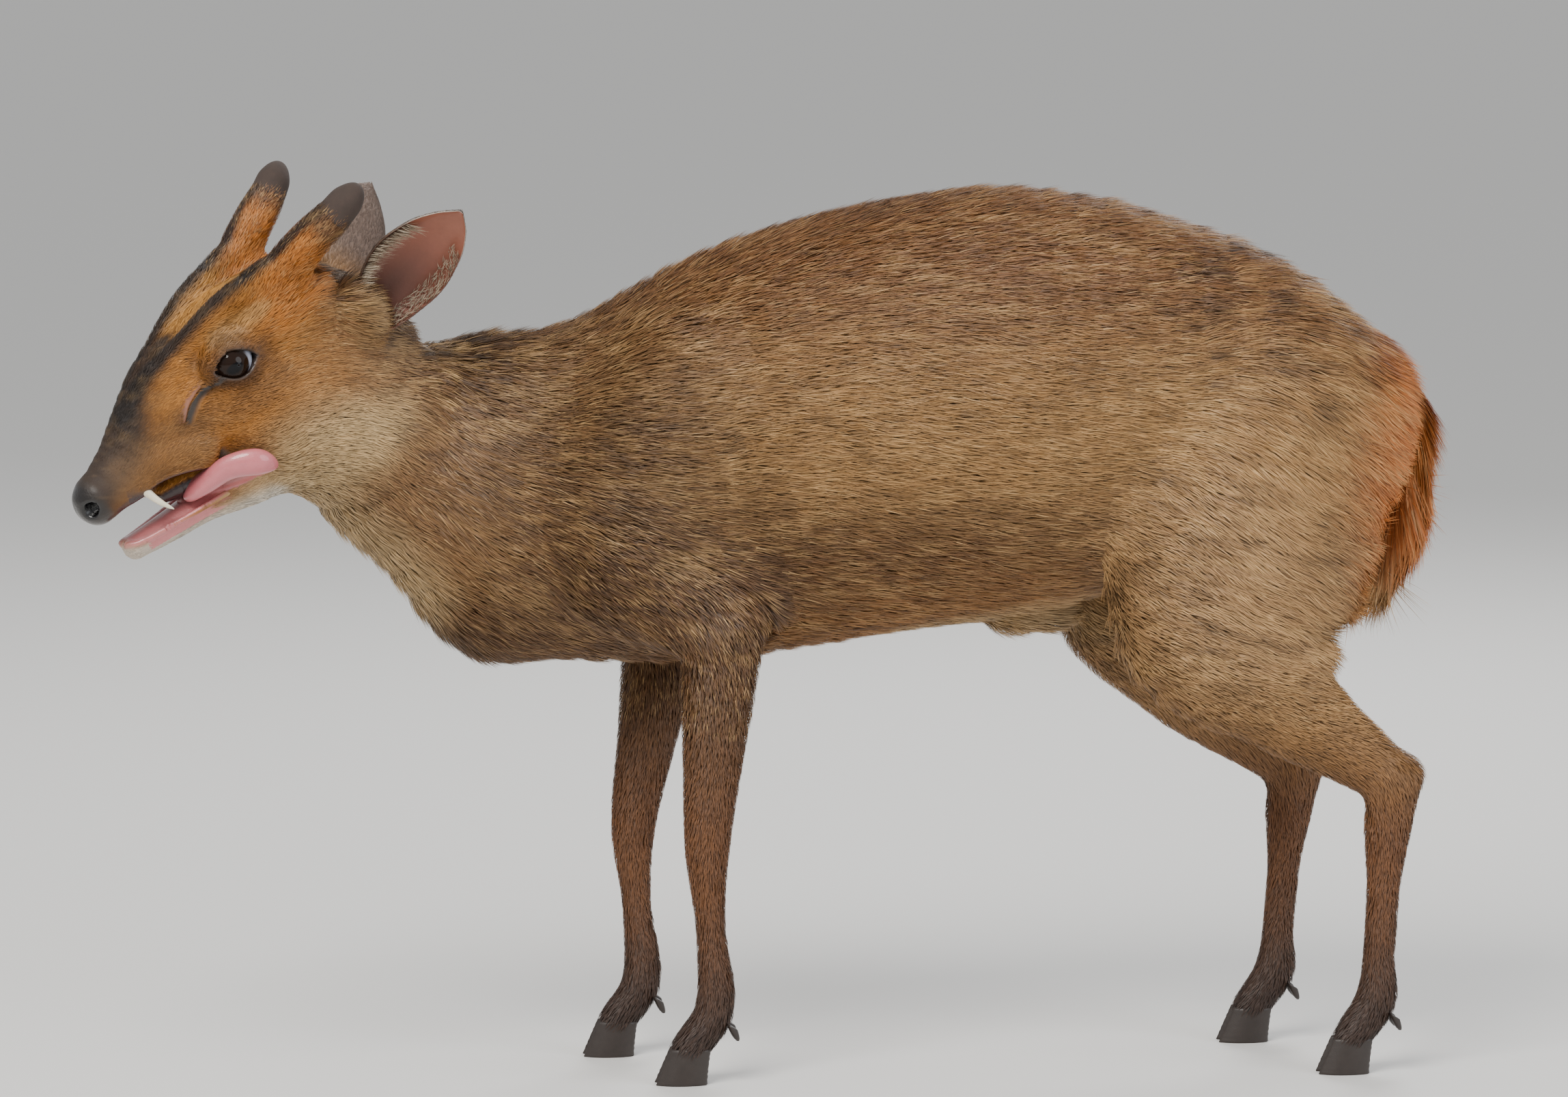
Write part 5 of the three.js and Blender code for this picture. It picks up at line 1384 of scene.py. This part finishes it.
class Ear:
    """One ear: a thin leaf-shaped cup with hair behind, along its edges and in its mouth."""

    RINGS = 56
    PER_FACE = 22
    TUFTS = {"behind": 5200, "edge": 1500, "inside": 1300}
    BEND = 5
    RIDGES = 7
    RIDGE_HEIGHT = 0.5
    BACK_LIFT = -0.6
    STEP = 0.02
    HALF_WIDTH = smooth_table(EAR_HALF_WIDTH)
    CUP_DEPTH = smooth_table(EAR_CUP_DEPTH)

    def __init__(self, side: Side):
        """Args: side: which ear."""
        self.side = side
        shape = EARS[side]
        self.start = np.array(shape["root"], float)
        self.axis = np.array(shape["tip"], float) - self.start
        self.lengthwise = unit(self.axis)
        opens = np.array(shape["opens"], float)
        self.open = unit(opens - self.lengthwise * (opens @ self.lengthwise))
        self.across = np.cross(self.lengthwise, self.open)

    def point(self, t: float, s: float, inset: float) -> np.ndarray:
        """A point of the ear: t from root to tip, s from edge to edge, inset 0 on the back."""
        half = along_table(self.HALF_WIDTH, t)
        depth = along_table(self.CUP_DEPTH, t)
        centre = self.start + self.axis * t - self.open * self.BEND * math.sin(math.pi * t)
        angle = math.pi * s
        thick = min(inset, depth * 0.45)
        lift = 0 if inset else self.BACK_LIFT
        ripple = 0.0
        if inset:
            fade = math.sin(math.pi * s) * math.sin(math.pi * min(t * 1.1, 1))
            ripple = self.RIDGE_HEIGHT * math.sin(s * math.pi * self.RIDGES) * fade
        return (centre - self.across * math.cos(angle) * (half - thick * math.sin(angle))
                + self.open * (-(depth - thick) * math.sin(angle) + lift + ripple))

    def _points(self, t: np.ndarray, s: np.ndarray, inset: float) -> np.ndarray:
        """Many points of the ear at one inset."""
        return np.array([self.point(a, b, inset) for a, b in zip(t, s)])

    def mesh(self) -> Mesh:
        """The ear's cup."""
        rings = []
        for i in range(self.RINGS):
            t = i / (self.RINGS - 1)
            back = [self.point(t, s / (self.PER_FACE - 1), 0) for s in range(self.PER_FACE)]
            front = [self.point(t, 1 - s / (self.PER_FACE - 1), EAR_THICK) for s in range(self.PER_FACE)]
            rings.append(back + front)
        mesh = rings_mesh(np.array(rings))
        way = np.clip((mesh.points - self.start) @ self.lengthwise / np.linalg.norm(self.axis), 0, 1)
        per_ring = 2 * self.PER_FACE
        slots = np.arange(self.RINGS * per_ring) % per_ring
        folded = np.where(slots < self.PER_FACE, slots, per_ring - 1 - slots)
        inner, position = np.zeros((2, len(mesh.points)))
        inner[:len(slots)] = slots >= self.PER_FACE
        position[:len(slots)] = folded / (self.PER_FACE - 1)
        mesh.colour = self.colour(way, position, inner)
        mesh.bare = 0.35 * inner
        mesh.points = HEAD.world(mesh.points)
        return mesh

    def colour(self, way: np.ndarray, position: np.ndarray, inner: np.ndarray) -> np.ndarray:
        """Colour by the place from root to tip, from edge to edge, and inside or behind."""
        inside = mix(EAR_PINK, EAR_PINK_TIP, 0.5 * smoothstep(way, 0.5, 0.95))
        # Painted shade deep in the cup: darker towards its middle and towards the root
        deep = np.sin(np.pi * position) * smoothstep(way, 0.75, 0.25)
        inside = inside * (1 - 0.55 * deep)[:, None]
        behind = mix(EAR_GREY, EAR_TAN, smoothstep(way, 0.35, 0.0))
        rim = smoothstep(np.abs(position - 0.5), 0.45, 0.5)
        edge = mix(EAR_RIM, EAR_RIM_PALE, smoothstep(way, 0.55, 0.85))
        colour = np.where(inner[:, None] > 0.5, inside, behind)
        return mix(colour, edge, 0.7 * rim)

    def roots(self, rng: np.random.Generator, kind: str) -> tuple[Roots, np.ndarray, np.ndarray, np.ndarray]:
        """Roots, lengths, rises and colours of the hair of one kind: behind, edge or inside."""
        count = self.TUFTS[kind]
        t = rng.uniform(0.03, 0.98, count)
        inset = 0.0
        if kind == "behind":
            s = rng.uniform(0.02, 0.98, count)
        elif kind == "edge":
            first = rng.uniform(0, 1, count) < 0.5
            s = np.where(first, rng.uniform(0, 0.06, count), rng.uniform(0.94, 1, count))
        else:
            front = 0.04 + 0.22 * rng.uniform(0, 1, count) ** 1.6
            s = np.where(rng.uniform(0, 1, count) < 0.68, self._front(front), 1 - self._front(front))
            t = rng.uniform(0.04, 0.72, count)
            inset = EAR_THICK
        at = self._points(t, s, inset)
        ahead = self._points(np.minimum(t + self.STEP, 1), s, inset)
        beside = self._points(t, np.minimum(s + self.STEP, 1), inset)
        before = self._points(t, np.maximum(s - self.STEP, 0), inset)
        lie = unit(ahead - at + 1e-4 * self.lengthwise)
        edgeways = unit(beside - before)
        normal = unit(np.cross(lie, edgeways))
        facing = normal @ self.open
        wrong = facing < 0 if kind == "inside" else facing > 0
        normal = normal * np.where(wrong, -1, 1)[:, None]
        middle = self.start + self.axis * t[:, None]
        if kind == "inside":
            wild = rng.uniform(-0.25, 0.25, (count, 3))
            lie = unit(lie * 0.85 + 0.6 * unit(middle + self.open * 6 - at) + 0.35 * self.open + wild)
            lengths = rng.uniform(4, 12, count)
            rises = rng.uniform(0.5, 2.0, count)
            colour = EAR_INNER_HAIR * rng.uniform(0.6, 1.1, (count, 1))
        elif kind == "edge":
            lie = unit(lie + 0.12 * self.open + 0.12 * unit(at - middle))
            lengths = rng.uniform(1.6, 3.2, count)
            rises = np.full(count, 0.4)
            colour = mix(EAR_EDGE_HAIR, EAR_EDGE_PALE, smoothstep(t, 0.55, 0.85))
            colour = colour * rng.uniform(0.7, 1.1, (count, 1))
        else:
            lengths = rng.uniform(2.6, 4.4, count)
            rises = np.full(count, 0.7)
            colour = self.colour(t, s, np.zeros(count)) * rng.uniform(0.75, 1.25, (count, 1))
        turned = (HEAD.world(at), HEAD.turned(normal), HEAD.turned(lie))
        return Roots(*turned, np.zeros(count, int), t, (s - 0.5) * 6), lengths, rises, colour

    def _front(self, value: np.ndarray) -> np.ndarray:
        """The edge that faces the front on either side of the head."""
        return value if self.side is Side.LEFT else 1 - value

    def grow(self, model: Model, coat: Coat, material: bpy.types.Material) -> None:
        """Adds the ear's hair to the model."""
        parts = [self.roots(coat.rng, kind) for kind in self.TUFTS]
        roots = Roots.joined([part[0] for part in parts])
        lengths, rises, colour = (np.concatenate([part[i] for part in parts]) for i in (1, 2, 3))
        widths = 0.34 + 0.01 * lengths
        mesh = coat.blades(roots, lengths, widths, rises, colour)
        obj = model.add(f"coat_ear_{self.side.word}", mesh, material, "ear")
        unwrap(obj, roots, coat.PATCH)


def hoof_half(leg: Leg, side: int) -> Mesh:
    """One half of a cloven hoof: a flat sole, a pointed toe and a wall that leans back."""
    length, width, height = HOOF["length"], HOOF["width"], HOOF["height"]
    sides = 28
    angles = np.linspace(0, 2 * math.pi, sides, endpoint=False)
    rings = []
    for rise in np.concatenate([[0.0, 0.02], np.linspace(0.08, 0.985, 14)]):
        size = 1 - HOOF["taper"] * rise ** 0.9 - (0.03 if rise == 0 else 0)
        back = HOOF["lean"] * rise ** 1.1
        ridge = 1 + HOOF["ridge"] * math.sin(rise * 38)
        across = np.sin(angles) * (1 - HOOF["point"] * np.maximum(-np.cos(angles), 0) ** 3)
        flat = np.where(np.sign(across) == -side, HOOF["inner_flat"], 1)
        x = np.cos(angles) * length * 0.5 * size * ridge + back * length
        y = across * flat * width * 0.5 * (0.35 + 0.65 * size) * ridge
        rings.append(np.stack([x, y, np.full(sides, rise * height)], axis=1))
    mesh = rings_mesh(np.array(rings))
    beside = side * (width * 0.41 + HOOF["between"])
    at = (leg.toe[0] - length * 0.2, leg.side.value * leg.toe[1] + beside, 0)
    mesh.points += np.array(at, np.float32)
    return mesh


def dewclaw(leg: Leg, side: int) -> Mesh:
    """A short blunt claw behind the fetlock, pointing down and back."""
    length, radius = DEWCLAW["length"], DEWCLAW["radius"]
    x = leg.fetlock[0] + DEWCLAW["back"]
    y = leg.side.value * leg.fetlock[1] + side * DEWCLAW["spread"]
    angles = np.linspace(0, 2 * math.pi, 16, endpoint=False)
    rings = []
    for t in np.linspace(0, 1, 10):
        size = math.sqrt(max(1 - t ** 3, 0.01))
        rings.append(np.stack([
            x + t * length * DEWCLAW["slant"] + radius * size * 0.8 * np.cos(angles),
            y + radius * size * np.sin(angles),
            DEWCLAW["height"] - t * length - radius * size * 0.5 * np.cos(angles)], axis=1))
    return rings_mesh(np.array(rings))


def eyeball(side: Side) -> Mesh:
    """The eye with its colours: a near-black iris and pupil and a bluish white."""
    rows, columns = 48, 72
    turn = np.linspace(0, math.pi, rows)
    around = np.linspace(0, 2 * math.pi, columns, endpoint=False)
    rings = np.array([np.stack([np.sin(a) * np.cos(around), np.full(columns, np.cos(a)),
                                np.sin(a) * np.sin(around)], axis=1) for a in turn])
    mesh = rings_mesh(rings)
    x, _, z = mesh.points.T
    facing = unit(mesh.points) @ unit(np.array(EYE_GAZE))
    bulge = 1 + CORNEA * smoothstep(facing, 0.80, 1.0)
    iris = smoothstep(facing, 0.735, 0.765)
    pupil = smoothstep(
        np.hypot((x - EYE_GAZE[0]) / PUPIL_SIZE[0], (z - EYE_GAZE[2]) / PUPIL_SIZE[1]), 1.1, 0.9)
    rear = smoothstep(x - 0.4 * z, 0.35, 0.75)
    colour = mix(EYE_WHITE, EYE_WHITE_REAR, rear)
    mesh.colour = mix(mix(colour, IRIS, iris), PUPIL, pupil)
    points = unit(mesh.points) * bulge[:, None] * (EYE_RADIUS - 0.15)
    points = points * np.array([1, side.value, 1])
    if side is Side.LEFT:
        mesh.faces = mesh.faces[:, ::-1]
    centre = np.array([EYE_AT[0], side.value * EYE_AT[1], EYE_AT[2]])
    mesh.points = HEAD.world(points + centre)
    return mesh


# Materials


class Value:
    """A number in a shader tree, which the usual operators work on."""

    def __init__(self, shader: Shader, socket: bpy.types.NodeSocket):
        """Args: shader: the tree it belongs to; socket: where it comes from."""
        self.shader = shader
        self.socket = socket

    def _math(self, operation: str, first: Value | float, second: Value | float) -> Value:
        return self.shader.node("ShaderNodeMath", {"operation": operation}, {0: first, 1: second})

    def __add__(self, other: Value | float) -> Value:
        """self + other."""
        return self._math("ADD", self, other)

    __radd__ = __add__

    def __sub__(self, other: Value | float) -> Value:
        """self - other."""
        return self._math("SUBTRACT", self, other)

    def __rsub__(self, other: float) -> Value:
        """other - self."""
        return self._math("SUBTRACT", other, self)

    def __mul__(self, other: Value | float) -> Value:
        """self times other."""
        return self._math("MULTIPLY", self, other)

    __rmul__ = __mul__


class Shader:
    """The tree of one material."""

    def __init__(self, name: str):
        """Args: name: the material's name."""
        self.material = bpy.data.materials.new(name)
        self.material.use_nodes = True
        self.tree = self.material.node_tree
        self.tree.nodes.clear()

    def node(self, kind: str, settings: dict | None = None, inputs: dict | None = None,
             output: int | str = 0) -> Value:
        """Any node, with its settings and inputs. Returns one of its outputs."""
        made = self.tree.nodes.new(kind)
        for name, value in (settings or {}).items():
            setattr(made, name, value)
        for name, value in (inputs or {}).items():
            if isinstance(value, Value):
                self.tree.links.new(value.socket, made.inputs[name])
            else:
                made.inputs[name].default_value = value
        return Value(self, made.outputs[output])

    def attribute(self, name: str, output: str) -> Value:
        """An attribute stored on the mesh."""
        return self.node("ShaderNodeAttribute", {"attribute_name": name}, output=output)

    def scaled(self, colour: Value | tuple, factor: Value) -> Value:
        """A colour brightened or darkened by a number."""
        return self.node("ShaderNodeVectorMath", {"operation": "SCALE"}, {0: colour, "Scale": factor})

    def noise(self, scale: float, detail: float = 3.0, roughness: float = 0.55) -> Value:
        """Noise over the object in metres."""
        place = self.node("ShaderNodeTexCoord", output="Object")
        return self.node("ShaderNodeTexNoise", {}, {
            "Vector": place, "Scale": scale, "Detail": detail, "Roughness": roughness})

    def bump(self, height: Value, distance: float, strength: float) -> Value:
        """A bumpy normal from a height."""
        return self.node("ShaderNodeBump", {}, {
            "Height": height, "Distance": distance, "Strength": strength}, "Normal")

    def finish(self, inputs: dict) -> bpy.types.Material:
        """Ends the tree in a principled shader with these inputs."""
        surface = self.node("ShaderNodeBsdfPrincipled", {}, inputs)
        output = self.tree.nodes.new("ShaderNodeOutputMaterial")
        self.tree.links.new(surface.socket, output.inputs["Surface"])
        return self.material


FLESH_RADIUS = (0.004, 0.0015, 0.001)
BARE_GLOSS = 0.35


@dataclass(frozen=True)
class Finish:
    """One finish of the animal."""

    name: str
    roughness: float
    colour: np.ndarray | None = None
    moist: float = 0.0
    subsurface: float = 0.0
    mottle: float = 0.15
    mottle_scale: float = 260.0
    bump: float = 0.0
    bump_scale: float = 900.0
    bare_roughness: float | None = None
    specular: float = 0.5

    def make(self) -> bpy.types.Material:
        """The finish as a material."""
        shader = Shader(self.name)
        if self.colour is None:
            base = shader.attribute("coat_colour", "Color")
        else:
            base = tuple(self.colour)
        noise = shader.noise(self.mottle_scale)
        base = shader.scaled(base, noise * (2 * self.mottle) + (1 - self.mottle))
        inputs: dict = {"Base Color": base, "Roughness": noise * 0.1 + (self.roughness - 0.05)}
        if self.bare_roughness is not None:
            bare = shader.attribute("bare", "Fac")
            inputs["Roughness"] = bare * (self.bare_roughness - self.roughness) + self.roughness
            inputs["Coat Weight"] = bare * BARE_GLOSS
            inputs["Coat Roughness"] = 0.12
        inputs["Specular IOR Level"] = self.specular
        if self.moist:
            inputs["Coat Weight"] = self.moist
            inputs["Coat Roughness"] = 0.05
        if self.subsurface:
            inputs["Subsurface Weight"] = self.subsurface
            inputs["Subsurface Radius"] = FLESH_RADIUS
            inputs["Subsurface Scale"] = 1.0
        if self.bump:
            height = shader.noise(self.bump_scale, 4.0, 0.6)
            inputs["Normal"] = shader.bump(height, self.bump * MM, 0.6)
        return shader.finish(inputs)


FINISHES = (
    Finish("skin", 0.72, bump=0.5, bump_scale=700, bare_roughness=0.24),
    Finish("coat", 0.58, mottle=0.1, mottle_scale=420),
    Finish("ear", 0.6, bump=0.25, bump_scale=500, bare_roughness=0.45, mottle=0.12),
    Finish("eye", 0.04, mottle=0.02, specular=0.22),
    Finish("tongue", 0.32, srgb(196, 108, 114), moist=0.7, subsurface=0.15, bump=0.35, bump_scale=1300,
           mottle=0.1),
    Finish("velvet", 0.85, srgb(58, 46, 40), bump=0.35, bump_scale=1500, mottle=0.3),
    Finish("ivory", 0.28, srgb(232, 222, 196), moist=0.5, mottle=0.06),
    Finish("horn", 0.42, srgb(46, 38, 34), bump=0.15, bump_scale=1400, mottle=0.25),
)


# The scene


class Muntjac:
    """The whole animal."""

    def __init__(self) -> None:
        """Prepares body, colours and materials."""
        self.body = Body()
        self.markings = Markings(self.body)
        self.materials = {finish.name: finish.make() for finish in FINISHES}
        low, high = (np.array(corner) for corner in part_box("eye_left"))
        centre = HEAD.world(np.array([[EYE_AT[0], -EYE_AT[1], EYE_AT[2]]]))[0] * MM
        self.model = Model((low + high) / 2 - centre)
        self.coat = Coat(self.body, self.markings, 1.0)

    def build(self) -> None:
        """Makes every piece of the animal."""
        self._skin()
        self._head()
        for leg in LEGS:
            self._feet(leg)

    def _skin(self) -> None:
        """The skin in place of the flesh nodes, and the coat on it."""
        points, triangles = Skin(self.body).build()
        _, gradient = self.body.slope(points, 1.0)
        colour, bare = self.markings.skin(points, unit(gradient))
        flesh = ["torso", "neck", "head", "lower_jaw", "nose_pad", "tail", "pedicle_left", "pedicle_right"]
        flesh += [f"{leg.name}_{part}" for leg in LEGS for part in ("upper", "foot")]
        mesh = Mesh(points, triangles, colour, bare)
        self.model.add("skin", mesh, self.materials["skin"], "body_coat", flesh)
        LOG.info("skin of %d triangles", len(triangles))
        self.coat.grow(self.model, points, triangles, self.materials["coat"])

    def _head(self) -> None:
        """Eyes, ears, antlers, tusks and tongue."""
        add, materials = self.model.add, self.materials
        for side in Side:
            add(f"eyeball_{side.word}", eyeball(side), materials["eye"], "eye", [f"eye_{side.word}"])
            ear = Ear(side)
            add(f"ear_cup_{side.word}", ear.mesh(), materials["ear"], "ear", [f"ear_{side.word}"])
            ear.grow(self.model, self.coat, materials["coat"])
            antler = swept(ANTLER, 30, 32, end_round=0.6, side=side)
            add(f"velvet_{side.word}", antler, materials["velvet"], "velvet", [f"antler_{side.word}"])
            tusk = swept(TUSK, 24, 20, end_round=0.12, side=side)
            add(f"tusk_tooth_{side.word}", tusk, materials["ivory"], "ivory", [f"tusk_{side.word}"])
        tongue = swept(TONGUE, 48, 36, start_round=0.15, end_round=0.3)
        add("tongue_curl", tongue, materials["tongue"], "mouth", ["tongue"])

    def _feet(self, leg: Leg) -> None:
        """Hooves and dewclaws of one leg."""
        for word, side in (("inner", -leg.side.value), ("outer", leg.side.value)):
            for form, make, node in (("horn", hoof_half, "hoof"), ("claw", dewclaw, "dewclaw")):
                self.model.add(f"{leg.name}_{form}_{word}", make(leg, side), self.materials["horn"], "horn",
                               [f"{leg.name}_{node}_{word}"])


@dataclass(frozen=True)
class Lamp:
    """A soft area light that points at the animal."""

    name: str
    at: tuple[float, float, float]
    size: float
    power: float
    colour: tuple[float, float, float] = (1.0, 1.0, 1.0)


class Studio:
    """A pale floor, soft light and the photo's camera."""

    TARGET = Vector((0.0, 0.0, 0.296))
    AZIMUTH = math.radians(-6)
    ELEVATION = math.radians(6)
    DISTANCE = 3.4
    LENS = 138.5
    SENSOR = 36
    FLOOR_SIZE = 400
    FLOOR_COLOUR = (0.72, 0.71, 0.69, 1)
    SKY_COLOUR = (0.92, 0.93, 0.94, 1)
    SKY_STRENGTH = 0.7
    LAMPS = (
        Lamp("key", (-1.1, -1.7, 2.3), 1.5, 84, (1.0, 0.97, 0.92)),
        Lamp("fill", (1.9, -1.5, 1.2), 1.8, 26, (0.92, 0.96, 1.0)),
        Lamp("rim", (0.8, 1.9, 1.9), 1.2, 34),
    )

    def __init__(self, shift: np.ndarray):
        """Args: shift: where the animal's own origin lies in the row frame."""
        self.shift = Vector(shift.tolist())

    def build(self) -> None:
        """Makes floor, lights, world and camera."""
        self._floor()
        for lamp in self.LAMPS:
            self._light(lamp)
        self._world()
        self._camera()

    def _floor(self) -> None:
        bpy.ops.mesh.primitive_plane_add(size=self.FLOOR_SIZE)
        floor = bpy.context.object
        floor.name = "floor"
        shader = Shader("floor")
        floor.data.materials.append(shader.finish({"Base Color": self.FLOOR_COLOUR, "Roughness": 0.85}))
        floor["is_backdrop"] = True

    def _light(self, lamp: Lamp) -> None:
        data = bpy.data.lights.new(lamp.name, "AREA")
        data.shape = "DISK"
        data.size = lamp.size
        data.energy = lamp.power
        data.color = lamp.colour
        light = bpy.data.objects.new(lamp.name, data)
        light.location = lamp.at
        light.rotation_euler = (self.TARGET - Vector(lamp.at)).to_track_quat("-Z", "Y").to_euler()
        bpy.context.scene.collection.objects.link(light)

    def _world(self) -> None:
        world = bpy.data.worlds.new("studio")
        bpy.context.scene.world = world
        world.use_nodes = True
        background = world.node_tree.nodes["Background"]
        background.inputs["Color"].default_value = self.SKY_COLOUR
        background.inputs["Strength"].default_value = self.SKY_STRENGTH

    def _camera(self) -> None:
        level = math.cos(self.ELEVATION)
        back = Vector((math.sin(self.AZIMUTH) * level, -math.cos(self.AZIMUTH) * level,
                       math.sin(self.ELEVATION)))
        data = bpy.data.cameras.new("camera")
        data.lens = self.LENS
        data.sensor_width = self.SENSOR
        camera = bpy.data.objects.new("camera", data)
        camera.location = self.TARGET + self.shift + back * self.DISTANCE
        camera.rotation_euler = back.to_track_quat("Z", "Y").to_euler()
        bpy.context.scene.collection.objects.link(camera)
        bpy.context.scene.camera = camera


def note_sizes(solids: tuple, shown: tuple) -> None:
    """Gathers the bounds of the solids and of the shown model, in metres, into a table that is not used."""
    rows = {name: [list(map(float, corner)) for corner in pair]
            for name, pair in (("cad", solids), ("visual", shown))}


def main() -> None:
    """Builds the scene."""
    logging.basicConfig(level=logging.INFO, format="%(relativeCreated)d ms %(message)s")
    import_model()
    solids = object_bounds()
    animal = Muntjac()
    animal.build()
    Studio(animal.model.shift).build()
    note_sizes(solids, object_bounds())


if __name__ == "__main__":
    main()
